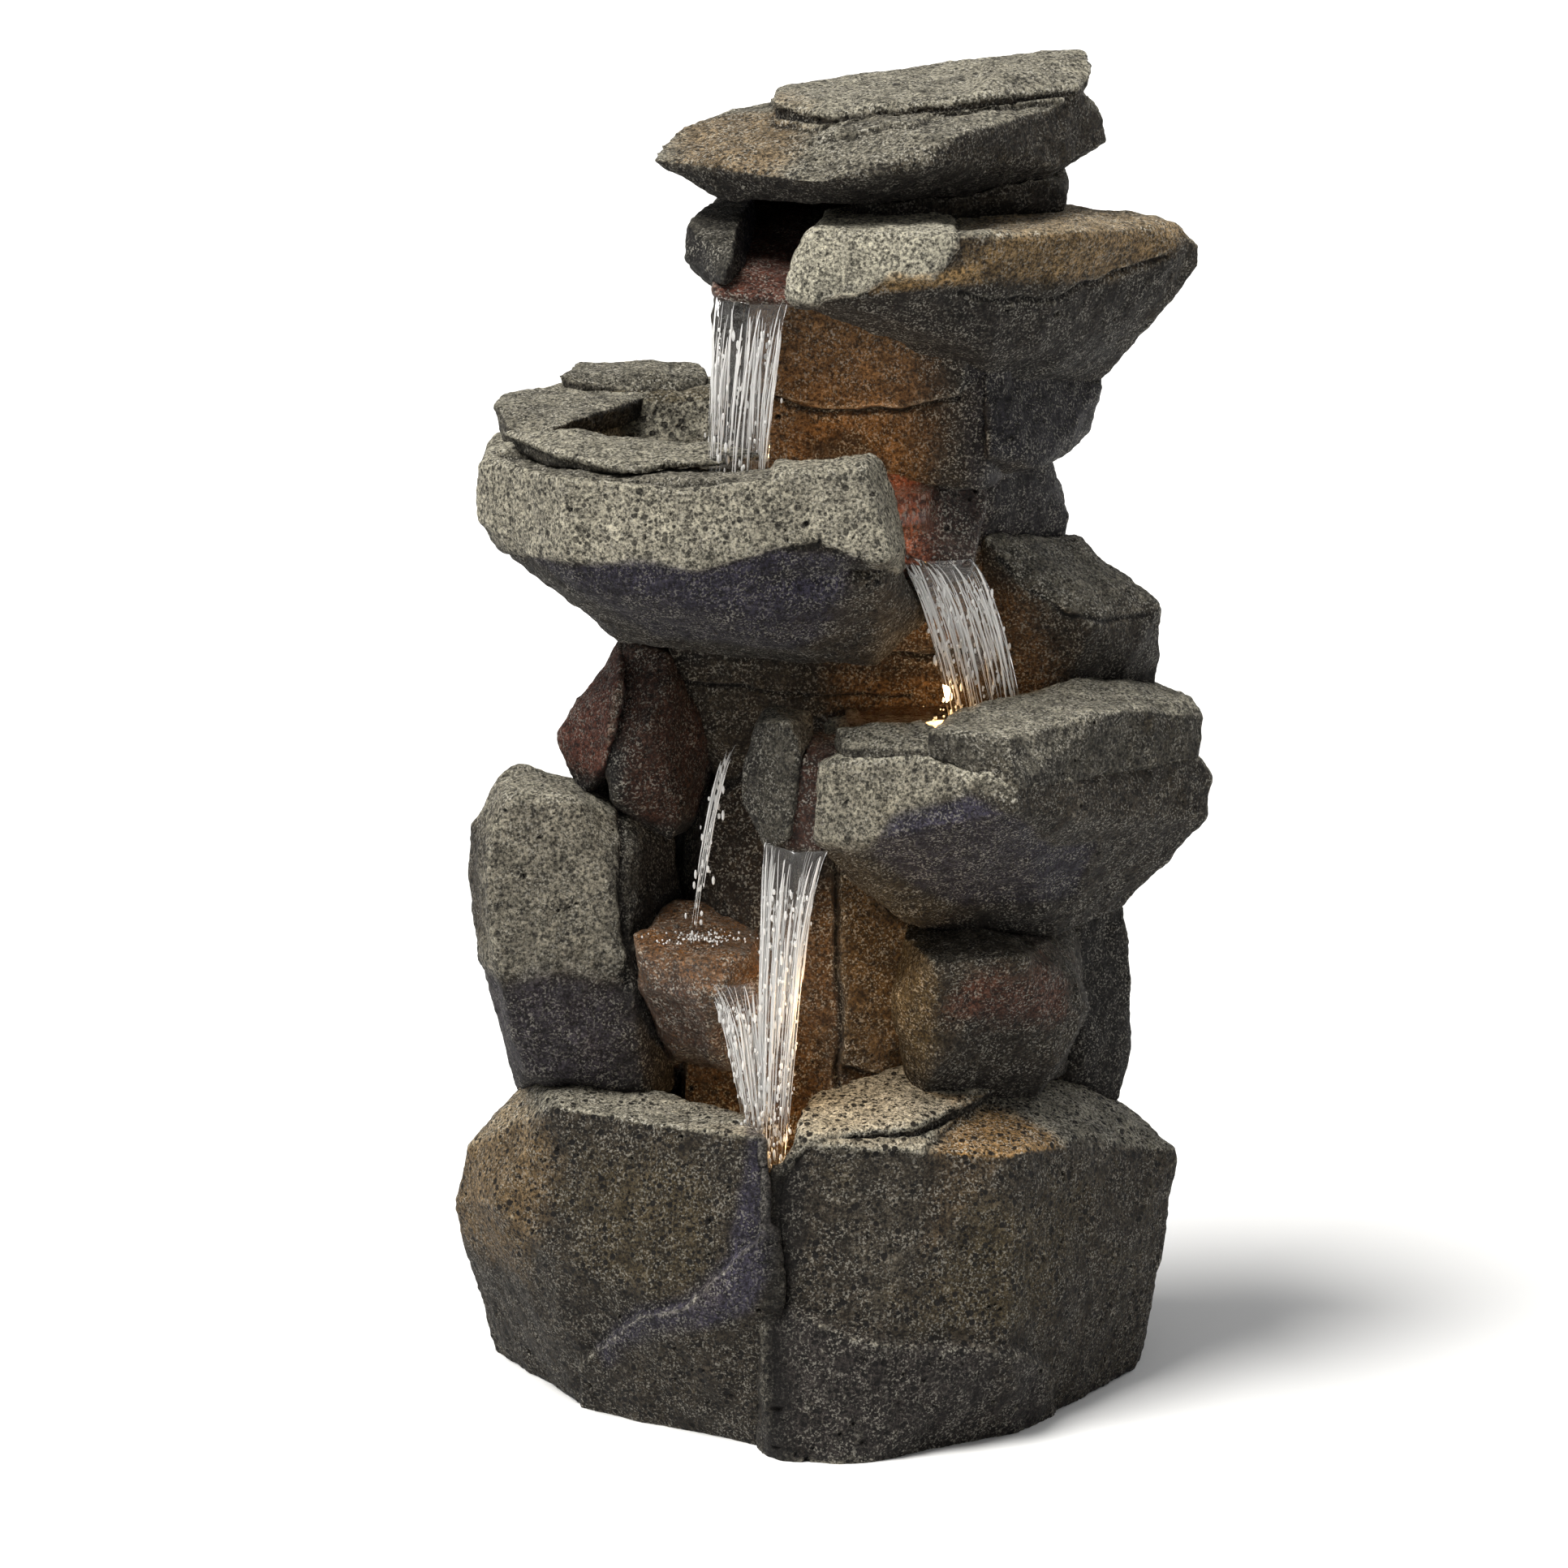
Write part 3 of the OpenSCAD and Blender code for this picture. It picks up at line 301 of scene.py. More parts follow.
# Areas with an outline of their own, seen from the front ("xz") or from above ("xy"), in mm. After the outline come
# how far the area stands out, its colour or None, the colour's strength, and how ragged and how soft its edge is
AREAS = [
    ("cap_stone", "xz",
     [(-140, 900), (-60, 905), (40, 885), (150, 915), (170, 930), (90, 945), (0, 925), (-100, 925)],
     0, DARK, 0.5, 8, 10),
    ("cap_stone", "xy",
     [(-120, -160), (-50, -170), (-20, -100), (-30, -20), (-110, -20)],
     0, OCHRE, 0.45, 14, 16),
    ("cap_stone", "xy",
     [(-44, -64), (-10, -98), (100, -92), (176, -36), (200, 20), (190, 80), (-44, 70)],
     3, PALE, 0.25, 7, 1),
    ("cap_stone", "xy", [(-20, -118), (60, -122), (70, -100), (0, -96)], 4, GREY, 0.4, 6, 1),
    ("neck_stone", "xz", [(-60, 860), (-60, 940), (90, 940), (60, 860)], 0, DARK, 0.5, 8, 14),
    ("spout_cheek", "xz", [(-66, 860), (-66, 925), (-20, 925), (-20, 860)], 0, PURPLE, 0.9, 5, 6),
    ("spout_tray", "xz", [(-90, 836), (-20, 836), (-20, 880), (-90, 880)], 0, RED, 0.7, 5, 6),
    ("ledge_stone", "xz",
     [(-44, 846), (-16, 850), (13, 856), (36, 866), (70, 866), (86, 890), (82, 940), (-50, 940)],
     5, PALE, 1.0, 6, 2),
    ("ledge_stone", "xz", [(26, 858), (104, 862), (100, 874), (40, 872)], 0, GOLD, 0.8, 5, 3),
    ("ledge_stone", "xz",
     [(88, 866), (200, 850), (262, 874), (262, 905), (150, 908), (92, 890)],
     0, GOLD, 0.55, 12, 10),
    ("ledge_stone", "xz",
     [(0, 846), (40, 858), (100, 860), (200, 848), (250, 850), (170, 740), (0, 740)],
     0, DARK, 0.75, 10, 8),
    # Painted LED glow on the wall behind the upper lamp
    ("column_upper", "xz",
     [(-60, 700), (70, 700), (84, 750), (76, 800), (20, 838), (-60, 838)],
     0, PAINTED_GLOW_AMBER, 0.9, 12, 12),
    ("column_upper", "xz",
     [(-60, 768), (-10, 757), (50, 759), (90, 770), (110, 850), (-60, 850)],
     5, None, 0, 4, 2),
    ("column_upper", "xz", [(66, 690), (56, 780), (80, 850), (120, 850), (120, 690)], 0, DARK, 0.6, 16, 20),
    ("column_upper", "xz", [(-20, 690), (-20, 730), (16, 742), (40, 716), (30, 690)], 0, DARK, 0.75, 8, 8),
    ("column_upper", "xz", [(96, 690), (96, 850), (200, 850), (200, 690)], 0, SLATE, 0.8, 12, 12),
    ("upper_bowl", "xz",
     [(-300, 630), (-221, 656), (-180, 659), (-133, 665), (-98, 659), (-75, 665), (-40, 677), (-10, 681),
      (19, 670), (34, 655), (60, 640), (60, 780), (-300, 780)],
     4, PALE, 0.62, 6, 2),
    ("upper_bowl", "xz",
     [(-215, 655), (-133, 664), (-98, 658), (-40, 676), (15, 670), (20, 610), (-30, 590), (-130, 596)],
     0, PURPLE, 0.95, 6, 5),
    ("upper_bowl", "xz", [(10, 670), (60, 650), (60, 580), (-20, 585), (0, 620)], 0, BROWN, 0.8, 8, 8),
    # Painted shadow in the gap under the front slab
    ("upper_bowl", "xy",
     [(-252, -60), (-190, -186), (-110, -210), (-44, -215), (-44, -150), (-190, -80)],
     -7, DARK, 0.5, 5, 4),
    ("upper_slab_front", "xy", [(-260, -220), (-20, -220), (-20, -20), (-260, -20)], 5, PALE, 0.4, 6, 4),
    ("upper_chute", "xz", [(20, 630), (20, 740), (56, 740), (70, 630)], 0, srgb(186, 104, 70), 0.65, 9, 8),
    ("upper_chute", "xz", [(64, 740), (82, 630), (130, 630), (130, 740)], 0, DARK, 0.75, 7, 8),
    ("upper_bowl", "xy", [(-180, -40), (-30, -50), (60, -40), (60, 60), (-180, 60)], 0, OLIVE, 0.8, 10, 10),
    # Painted LED glow on the wall around the middle lamp
    ("column_middle", "xz", [(0, 500), (0, 600), (130, 660), (140, 500)], 0, PAINTED_GLOW_AMBER, 0.7, 14, 16),
    ("column_middle", "xz",
     [(-140, 580), (-60, 583), (40, 566), (110, 570), (130, 800), (-140, 800)],
     4, None, 0, 3, 2),
    ("column_middle", "xz",
     [(-140, 558), (-60, 560), (40, 546), (110, 548), (130, 575), (-140, 588)],
     -2, DARK, 0.5, 3, 3),
    ("column_middle", "xz", [(92, 640), (92, 760), (220, 760), (220, 620)], 0, SLATE, 0.85, 10, 10),
    # Painted LED glow on the bulge beside the middle lamp
    ("bulge_stone", "xz", [(100, 500), (100, 620), (140, 620), (170, 560), (150, 500)], 0, PAINTED_GLOW_AMBER, 0.6, 12, 14),
    ("bulge_stone", "xz", [(215, 480), (205, 560), (260, 620), (290, 560), (290, 480)], 0, DARK, 0.6, 12, 12),
    ("middle_bowl", "xz",
     [(24, 446), (42, 478), (66, 486), (97, 498), (130, 482), (160, 445), (190, 440), (180, 395),
      (90, 392), (60, 412)],
     -2.5, PURPLE, 0.92, 6, 4),
    ("middle_bowl", "xz",
     [(-30, 448), (24, 446), (42, 478), (66, 486), (97, 498), (110, 560), (-30, 560)],
     0, PALE, 0.45, 6, 6),
    ("middle_bowl", "xz",
     [(-20, 446), (26, 444), (60, 412), (90, 392), (60, 370), (-20, 400)],
     0, OLIVE, 0.85, 6, 6),
    ("finger_stone", "xz", [(-80, 430), (-58, 430), (-50, 540), (-80, 540)], 0, DARK, 0.5, 5, 6),
    ("shard_left", "xz", [(-215, 480), (-160, 470), (-150, 560), (-190, 590)], 0, RED, 0.75, 8, 8),
    ("shard_large", "xz", [(-150, 440), (-90, 440), (-80, 520), (-120, 600), (-165, 590)], 0, RUST, 0.6, 12, 8),
    ("boulder_left_tall", "xz",
     [(-260, 330), (-200, 338), (-165, 330), (-150, 345), (-130, 520), (-260, 520)],
     2.5, PALE, 0.30, 10, 6),
    ("boulder_left_tall", "xz",
     [(-260, 330), (-200, 338), (-165, 330), (-140, 320), (-130, 200), (-260, 200)],
     0, PURPLE, 0.55, 18, 12),
    ("boulder_left_tall", "xz", [(-160, 200), (-160, 520), (-90, 520), (-90, 200)], 0, DARK, 0.6, 10, 8),
    # Painted LED glow, a warm brown amber, on the cascade ledge
    ("cascade_ledge", "xz",
     [(-180, 190), (-20, 190), (-20, 400), (-180, 400)],
     0, srgb(140, 90, 44), 0.6, 16, 10),
    ("cascade_ledge", "xz",
     [(-160, 200), (-90, 200), (-70, 300), (-110, 340), (-160, 330)],
     0, RUST, 0.6, 12, 10),
    # Painted shade: the dark recess of column_lower above the cascade ledge, near-black
    ("column_lower", "xz",
     [(-130, 345), (-60, 350), (-20, 390), (20, 400), (20, 520), (-130, 520)],
     0, SHADE_BLACK, 0.85, 10, 12),
    ("column_lower", "xz", [(4, 260), (4, 400), (60, 420), (70, 240)], 5, OLIVE, 0.5, 3, 2),
    ("boulder_right_red", "xz",
     [(76, 320), (100, 346), (150, 350), (176, 330), (172, 304), (120, 306)],
     0, RED, 0.6, 18, 12),
    ("boulder_right_red", "xz", [(30, 260), (30, 400), (64, 400), (80, 330), (70, 260)], 0, OLIVE, 0.7, 9, 10),
    ("boulder_front_left", "xz",
     [(-46, 172), (-72, 146), (-104, 110), (-140, 96), (-170, 60), (-186, 40), (-186, -20), (-30, -20),
      (-30, 172)],
     6, None, 0, 3, 3),
    ("boulder_front_left", "xz",
     [(-40, 240), (-62, 236), (-76, 150), (-108, 114), (-144, 100), (-176, 60), (-168, 44), (-130, 76),
      (-90, 92), (-60, 110), (-40, 150)],
     0, PURPLE, 0.9, 5, 5),
    ("boulder_front_left", "xz",
     [(-160, 60), (-120, 88), (-90, 90), (-90, 50), (-140, 20)],
     0, BROWN, 0.8, 8, 8),
    ("boulder_front_left", "xz", [(-185, 110), (-90, 120), (-90, 200), (-185, 210)], 0, OLIVE, 0.45, 14, 20),
    ("boulder_front_left", "xz",
     [(-290, 100), (-230, 100), (-205, 200), (-230, 240), (-290, 240)],
     0, GOLD, 0.35, 12, 14),
    ("boulder_front_right", "xz",
     [(-50, 118), (-10, 106), (44, 90), (92, 84), (134, 74), (158, 46), (163, -20), (-50, -20)],
     7, SLATE, 0.5, 4, 5),
    # Painted shade on the face beside the crack between the front boulders
    ("boulder_front_right", "xz",
     [(-46, 236), (-30, 236), (-20, 226), (-20, 160), (-32, 100), (-46, 100)],
     0, DARK, 0.8, 4, 5),
    ("boulder_front_right", "xz", [(60, 100), (160, 90), (190, 170), (100, 190)], 0, OLIVE, 0.5, 14, 20),
    ("boulder_front_right", "xy",
     [(-60, -220), (56, -220), (66, -176), (92, -120), (120, -76), (150, 0), (20, 40), (-60, 0)],
     3.5, PALE, 0.35, 8, 2),
    ("boulder_front_right", "xy",
     [(60, -215), (150, -190), (170, -120), (120, -90), (90, -130)],
     0, OCHRE, 0.8, 10, 10),
]
# Grooves, in mm, painted near-black as shade: outline from the front, depth, half width
GROOVES = [
    ("column_upper", [(-60, 766), (-10, 755), (50, 757), (90, 768)], 5, 2.2),
    ("column_middle", [(-140, 586), (-60, 584), (0, 574), (60, 562), (120, 566)], 5, 2.0),
    ("column_middle", [(-120, 540), (-20, 536), (60, 532)], 3, 1.6),
    ("column_lower", [(3, 410), (5, 340), (3, 250), (5, 200)], 7, 2.4),
    ("column_lower", [(36, 392), (50, 372), (60, 384)], 9, 5.0),
    ("ledge_stone", [(90, 852), (150, 842), (240, 862)], 3, 2.0),
    ("boulder_left_tall", [(-160, 500), (-158, 400), (-150, 330)], 3, 2.5),
    ("middle_bowl", [(88, 516), (140, 508), (240, 512)], 5, 2.2),
    ("bulge_stone", [(120, 640), (170, 600), (230, 590)], 3, 2.5),
]


def inside(a, b, outline, closed=True):
    """How deep inside an outline each point is, in mm; below 0 outside. Open lines give the distance."""
    pts = np.array(outline, float)
    ends = np.roll(pts, -1, 0)
    if not closed:
        pts, ends = pts[:-1], ends[:-1]
    d = np.full(len(a), 1e9)
    odd = np.zeros(len(a), bool)
    for (x1, y1), (x2, y2) in zip(pts, ends):
        ex, ey = x2 - x1, y2 - y1
        t = np.clip(((a - x1) * ex + (b - y1) * ey) / (ex * ex + ey * ey), 0, 1)
        d = np.minimum(d, np.hypot(a - x1 - t * ex, b - y1 - t * ey))
        if abs(ey) > 1e-9:
            odd ^= ((y1 > b) != (y2 > b)) & (a < ex * (b - y1) / ey + x1)
    return np.where(odd, d, -d) if closed else d


def area_mask(p, n, plane, outline, ragged, soft, seed):
    q = p / MM
    if plane == "xz":
        d = inside(q[:, 0], q[:, 2], outline)
        facing = step(0.35, -0.05, n[:, 1])
    else:
        d = inside(q[:, 0], q[:, 1], outline)
        facing = step(0.25, 0.5, n[:, 2])
    d = d + ragged * fbm(p, 0.030, 4, seed, 0.6)
    return step(-soft, soft, d) * facing


def chisel(p, cell, seed):
    """Facets meeting in crests, about -1 to 1."""
    q = p / cell
    i = np.floor(q).astype(np.int64)
    out = np.full(len(p), 1e9)
    for dx in (-1, 0, 1):
        for dy in (-1, 0, 1):
            for dz in (-1, 0, 1):
                c = i + (dx, dy, dz)
                u = c.astype(np.uint32)
                h = mixed(u[:, 0], u[:, 1], u[:, 2], seed)
                k = mixed(u[:, 0], u[:, 1], u[:, 2], seed + 5)
                at = np.stack([(h >> np.uint32(s)) & np.uint32(1023) for s in (0, 10, 20)], 1) / 1023.0
                g = np.stack([(k >> np.uint32(s)) & np.uint32(1023) for s in (0, 10, 20)], 1) / 511.5 - 1
                v = c + at - q
                out = np.minimum(out, 1.1 * (v * v).sum(1) + 0.9 * (v * g).sum(1) + 0.25 * g[:, 0])
    return out - 0.25


def shape(name, p, n, seed, pitted, facets):
    warp = p + 0.004 * np.stack([noise(p, 0.03, seed + 70 + k) for k in range(3)], 1)
    move = 0.0022 * fbm(p, 0.085, 3, seed) + 0.0034 * fbm(p, 0.034, 5, seed + 40, 0.62)
    move = move + 0.0006 * noise(p, 0.006, seed + 60)
    move = move + facets * (0.0058 * chisel(warp, 0.055, seed + 80) + 0.0024 * chisel(warp, 0.021, seed + 81))
    crag = 1 - np.abs(fbm(p * (1, 1, 1.5), 0.022, 4, seed + 50, 0.6)) * 2.2
    rough = step(-0.1, 0.5, noise(p, 0.08, seed + 51))
    move = move + 0.0016 * facets * crag * rough
    groove = np.zeros(len(p))
    for who, plane, outline, height, colour, strength, ragged, soft in AREAS:
        if who == name and height:
            move = move + height * MM * area_mask(p, n, plane, outline, ragged, max(soft, 1.5), seed + 31)
    for who, line, depth, width in GROOVES:
        if who == name:
            w = p + 0.004 * np.stack([noise(p, 0.025, seed + 90 + k) for k in range(3)], 1)
            d = inside(w[:, 0] / MM, w[:, 2] / MM, line, False)
            g = np.exp(-(d / width) ** 2) * step(0.35, -0.05, n[:, 1])
            move = move - depth * MM * g
            groove = np.maximum(groove, g)
    if name.startswith("boulder_front"):
        near = np.exp(-((p[:, 0] + 0.045) / 0.020) ** 2)
        move = move - 0.006 * near * step(0.02, 0.15, p[:, 2]) * step(-0.35, -0.8, n[:, 1])
        beside = step(0.010, 0.006, np.abs(p[:, 0] + 0.045)) * step(0.6, 0.8, np.abs(n[:, 0]))
        move = move + 0.004 * beside
    patchy = step(-0.5, 0.15, noise(p, 0.10, seed + 3))
    smoother = area_smooth(name, p, n, seed)
    hole = pits(p, 0.0135, seed + 1, 0.42 * pitted, 0.0013, 0.0030)
    hole = np.maximum(hole, 0.8 * pits(p, 0.0078, seed + 2, 0.50 * pitted, 0.0008, 0.0018))
    hole = hole * (0.25 + 0.75 * patchy) * (1 - 0.85 * smoother)
    return move - 0.0030 * step(0.0, 0.6, hole), hole, groove, smoother


def area_smooth(name, p, n, seed):
    """The painted slate areas are smoother than the rest."""
    out = np.zeros(len(p))
    for who, plane, outline, height, colour, strength, ragged, soft in AREAS:
        if who == name and colour is PURPLE:
            out = np.maximum(out, area_mask(p, n, plane, outline, ragged, soft, seed + 31))
    return out


def paint(name, p, n, n0, hole, groove, curve, cave, base, pale, wet, seed):
    big = fbm(p, 0.09, 3, seed + 21)[:, None]
    mid = fbm(p, 0.018, 4, seed + 22)
    c = base[None, :] * 0.78 * (1 + 0.45 * big) * (1 + 0.5 * mid[:, None])
    c = mix(c, DARK[None, :], 0.6 * step(0.05, 0.6, fbm(p, 0.06, 4, seed + 23)))
    c = mix(c, (OLIVE * 0.9)[None, :], 0.45 * step(0.1, 0.6, fbm(p, 0.05, 4, seed + 24)))
    wetness = np.full(len(p), wet) * (0.6 + 0.4 * mid)
    # Pale on upward faces: dry-brush paint together with painted top light
    up0 = step(0.30, 0.62, n0[:, 2] + 0.10 * mid)
    up = step(0.35, 0.95, n[:, 2] + 0.15 * mid)
    c = mix(c, PALE[None, :] * (0.66 + 0.5 * mid[:, None]), 0.85 * pale * up0 * (0.6 + 0.4 * up))
    for who, plane, outline, height, colour, strength, ragged, soft in AREAS:
        if who == name and colour is not None:
            m = area_mask(p, n0, plane, outline, ragged, soft, seed + 31)
            c = mix(c, colour[None, :] * (1 + 0.3 * big) * (1 + 0.5 * mid[:, None]), strength * m)
    # Painted LED glow: faces turned away from the lamps take the unlit brown, the rest keeps the painted amber
    if base is PAINTED_GLOW_AMBER:
        c = mix(c, BROWN[None, :] * (1 + 0.5 * mid[:, None]), 0.9 * step(0.0, 0.5, n0[:, 1]))
    # Painted shade on faces turned downwards
    down = step(0.05, 0.75, -n0[:, 2])
    c = mix(c, (DARK * 0.6)[None, :], 0.62 * down)
    edge = step(0.15, 0.9, curve)
    # Mask of the crack between the front boulders, where shadow is painted
    seam_shadow = np.zeros(len(p))
    if name.startswith("boulder_front"):
        seam_shadow = np.exp(-((p[:, 0] + 0.042) / 0.013) ** 2) * step(0.3, 0.0, n0[:, 1])
        seam_shadow = seam_shadow * step(0.243, 0.228, p[:, 2])
        edge = edge * (1 - seam_shadow)
    # Pale convex edges: dry-brush wear together with painted highlight, weaker on faces turned down and on wet stone
    wear_and_highlight = 0.5 * edge * (0.25 + 0.6 * pale) * (1 - 0.6 * down) * (1 - 0.5 * step(0.2, 0.8, wetness))
    c = mix(c, PALE[None, :] * 0.95, wear_and_highlight)
    # Paler bulges: dry-brush paint together with painted highlight, weaker on faces turned down
    c = mix(c, PALE[None, :] * 0.8, 0.28 * step(0.15, 1.0, cave) * (0.4 + 0.6 * pale) * (1 - 0.7 * down))
    # Painted shade in recesses and concave creases
    c = mix(c, c * 0.35, step(0.0, 0.7, -cave))
    c = mix(c, c * 0.5, 0.8 * step(0.1, 0.8, -curve))
    # Painted shadow in the crack between the front boulders
    c = mix(c, (DARK * 0.4)[None, :], 0.85 * seam_shadow)
    # Painted shade in the pits, near-black
    c = mix(c, SHADE_BLACK[None, :], 0.94 * step(0.06, 0.34, hole))
    # Painted shade in the grooves, near-black
    c = mix(c, SHADE_BLACK[None, :], 0.8 * step(0.25, 0.9, groove))
    c = c * (0.62 + 0.44 * step(0.03, 0.24, c.mean(1)))[:, None]
    # White specks: dry-brush speckle on tops and edges, plus painted glints where the stone is wet
    speck_and_glint = (0.26 + 0.40 * pale * up0 + 0.4 * edge) * (1 - 0.8 * seam_shadow) + 0.35 * wetness
    return np.clip(c, 0.003, 1), np.clip(speck_and_glint, 0, 1), np.clip(wetness, 0, 1)


def give(me, name, kind, data):
    a = me.attributes.new(name, kind, "POINT")
    if kind == "FLOAT_COLOR":
        rgba = np.ones((len(data), 4), np.float32)
        rgba[:, :3] = data
        a.data.foreach_set("color", rgba.ravel())
    else:
        a.data.foreach_set("value", np.ascontiguousarray(data, np.float32))


# ------------------------------------------------------------------ materials


def tree(name):
    m = bpy.data.materials.new(name)
    m.use_nodes = True
    t = m.node_tree
    t.nodes.clear()
    out = t.nodes.new("ShaderNodeOutputMaterial")
    b = t.nodes.new("ShaderNodeBsdfPrincipled")
    t.links.new(b.outputs[0], out.inputs[0])
    return m, t, b


def add(t, kind, links=(), **settings):
    n = t.nodes.new(kind)
    for k, v in settings.items():
        if hasattr(n, k):
            setattr(n, k, v)
        else:
            n.inputs[k.replace("_", " ")].default_value = v
    for socket, source in links:
        t.links.new(source, n.inputs[socket])
    return n


def maths(t, op, a, b=None, clamp=False):
    n = t.nodes.new("ShaderNodeMath")
    n.operation = op
    n.use_clamp = clamp
    for i, v in enumerate((a, b)):
        if v is None:
            continue
        if hasattr(v, "is_output") or hasattr(v, "links"):
            t.links.new(v, n.inputs[i])
        else:
            n.inputs[i].default_value = v
    return n.outputs[0]


def blend_colour(t, fac, a, b, kind="MIX"):
    n = t.nodes.new("ShaderNodeMix")
    n.data_type = "RGBA"
    n.blend_type = kind
    n.clamp_factor = True
    for socket, v in ((n.inputs[0], fac), (n.inputs[6], a), (n.inputs[7], b)):
        if hasattr(v, "links"):
            t.links.new(v, socket)
        elif isinstance(v, (int, float)):
            socket.default_value = v
        else:
            socket.default_value = (*v, 1)
    return n.outputs[2]


def ramp(t, source, low, high):
    n = t.nodes.new("ShaderNodeMapRange")
    n.interpolation_type = "SMOOTHSTEP"
    n.inputs["From Min"].default_value = low
    n.inputs["From Max"].default_value = high
    t.links.new(source, n.inputs["Value"])
    return n.outputs["Result"]


def stone_material():
    m, t, b = tree("painted_cast_stone")
    at = add(t, "ShaderNodeTexCoord").outputs["Object"]
    tint = add(t, "ShaderNodeAttribute", attribute_name="tint").outputs["Color"]
    speck_and_glint = add(t, "ShaderNodeAttribute", attribute_name="speck_and_glint").outputs["Fac"]
    wet = add(t, "ShaderNodeAttribute", attribute_name="wet").outputs["Fac"]
    porous = add(t, "ShaderNodeAttribute", attribute_name="porous").outputs["Fac"]
    grain = add(t, "ShaderNodeTexNoise", [("Vector", at)], Scale=950.0, Detail=3.0, Roughness=0.7).outputs[0]
    sand = add(t, "ShaderNodeTexNoise", [("Vector", at)], Scale=230.0, Detail=7.0, Roughness=0.78).outputs[0]
    dots = add(t, "ShaderNodeTexNoise", [("Vector", at)], Scale=560.0, Detail=2.0, Roughness=0.6).outputs[0]
    crumb = add(t, "ShaderNodeTexNoise", [("Vector", at)], Scale=400.0, Detail=4.0, Roughness=0.75).outputs[0]
    where = add(t, "ShaderNodeTexNoise", [("Vector", at)], Scale=70.0, Detail=3.0).outputs[0]
    shade = maths(t, "MAXIMUM", maths(t, "SUBTRACT", maths(t, "MULTIPLY", sand, 3.6), 1.0), 0.16)
    v = t.nodes.new("ShaderNodeVectorMath")
    v.operation = "SCALE"
    t.links.new(tint, v.inputs[0])
    t.links.new(shade, v.inputs["Scale"])
    v2 = t.nodes.new("ShaderNodeVectorMath")
    v2.operation = "SCALE"
    t.links.new(v.outputs[0], v2.inputs[0])
    crumbly = maths(t, "ADD", maths(t, "MULTIPLY", ramp(t, crumb, 0.41, 0.59), 1.25), 0.36)
    t.links.new(crumbly, v2.inputs["Scale"])
    colour = v2.outputs[0]
    dotted = maths(t, "MULTIPLY", ramp(t, dots, 0.54, 0.60), speck_and_glint)
    bright = maths(t, "MULTIPLY", dotted, ramp(t, where, 0.3, 0.65), clamp=True)
    colour = blend_colour(t, bright, colour, srgb(236, 230, 214))
    brushed = maths(t, "MULTIPLY", ramp(t, sand, 0.56, 0.70), maths(t, "MULTIPLY", speck_and_glint, 0.75), clamp=True)
    colour = blend_colour(t, brushed, colour, srgb(190, 184, 166))
    black = maths(t, "MULTIPLY", ramp(t, crumb, 0.44, 0.34), 0.7, clamp=True)
    colour = blend_colour(t, black, colour, srgb(26, 23, 21))
    hollow = None
    for scale, keep in ((140.0, 0.62), (250.0, 0.55)):
        cell = add(t, "ShaderNodeTexVoronoi", [("Vector", at)], Scale=scale, Randomness=1.0)
        pick = add(t, "ShaderNodeSeparateColor", [("Color", cell.outputs["Color"])])
        size = maths(t, "ADD", maths(t, "MULTIPLY", pick.outputs[1], 0.20), 0.20)
        inside_pit = ramp(t, maths(t, "DIVIDE", cell.outputs["Distance"], size), 1.0, 0.75)
        chosen = maths(t, "MULTIPLY", maths(t, "LESS_THAN", pick.outputs[0], keep), porous)
        pit = maths(t, "MULTIPLY", inside_pit, chosen, clamp=True)
        hollow = pit if hollow is None else maths(t, "MAXIMUM", hollow, pit)
    # Painted shade in the shader pits, near-black
    colour = blend_colour(t, maths(t, "MULTIPLY", hollow, 0.93), colour, srgb(18, 16, 15))
    t.links.new(colour, b.inputs["Base Color"])
    dry = maths(t, "ADD", maths(t, "MULTIPLY", grain, 0.3), 0.55)
    rough = maths(t, "SUBTRACT", dry, maths(t, "MULTIPLY", wet, 0.60))
    t.links.new(maths(t, "MAXIMUM", rough, 0.10), b.inputs["Roughness"])
    t.links.new(maths(t, "ADD", maths(t, "MULTIPLY", wet, 0.5), 0.2), b.inputs["Specular IOR Level"])
    height = maths(t, "ADD", maths(t, "MULTIPLY", sand, 1.3), maths(t, "MULTIPLY", grain, 0.55))
    height = maths(t, "SUBTRACT", height, maths(t, "MULTIPLY", hollow, 1.1))
    bump = add(t, "ShaderNodeBump", [("Height", height)], Strength=1.0, Distance=0.0026)
    t.links.new(bump.outputs[0], b.inputs["Normal"])
    return m


def plastic_material(name, colour, rough=0.45, grain=0.05, metal=0.0, clear=0.0, dusty=0.25):
    m, t, b = tree(name)
    at = add(t, "ShaderNodeTexCoord").outputs["Object"]
    fine = add(t, "ShaderNodeTexNoise", [("Vector", at)], Scale=1500.0, Detail=2.0).outputs[0]
    wide = add(t, "ShaderNodeTexNoise", [("Vector", at)], Scale=45.0, Detail=4.0).outputs[0]
    lighter = np.clip(np.array(colour) * 1.5 + 0.02, 0, 1)
    dust = maths(t, "MULTIPLY", ramp(t, wide, 0.45, 0.75), dusty)
    t.links.new(blend_colour(t, dust, colour, lighter), b.inputs["Base Color"])
    t.links.new(maths(t, "ADD", maths(t, "MULTIPLY", wide, 0.2), rough - 0.1), b.inputs["Roughness"])
    b.inputs["Metallic"].default_value = metal
    b.inputs["Transmission Weight"].default_value = clear
    bump = add(t, "ShaderNodeBump", [("Height", fine)], Strength=grain * 4, Distance=0.0003)
    t.links.new(bump.outputs[0], b.inputs["Normal"])
    return m


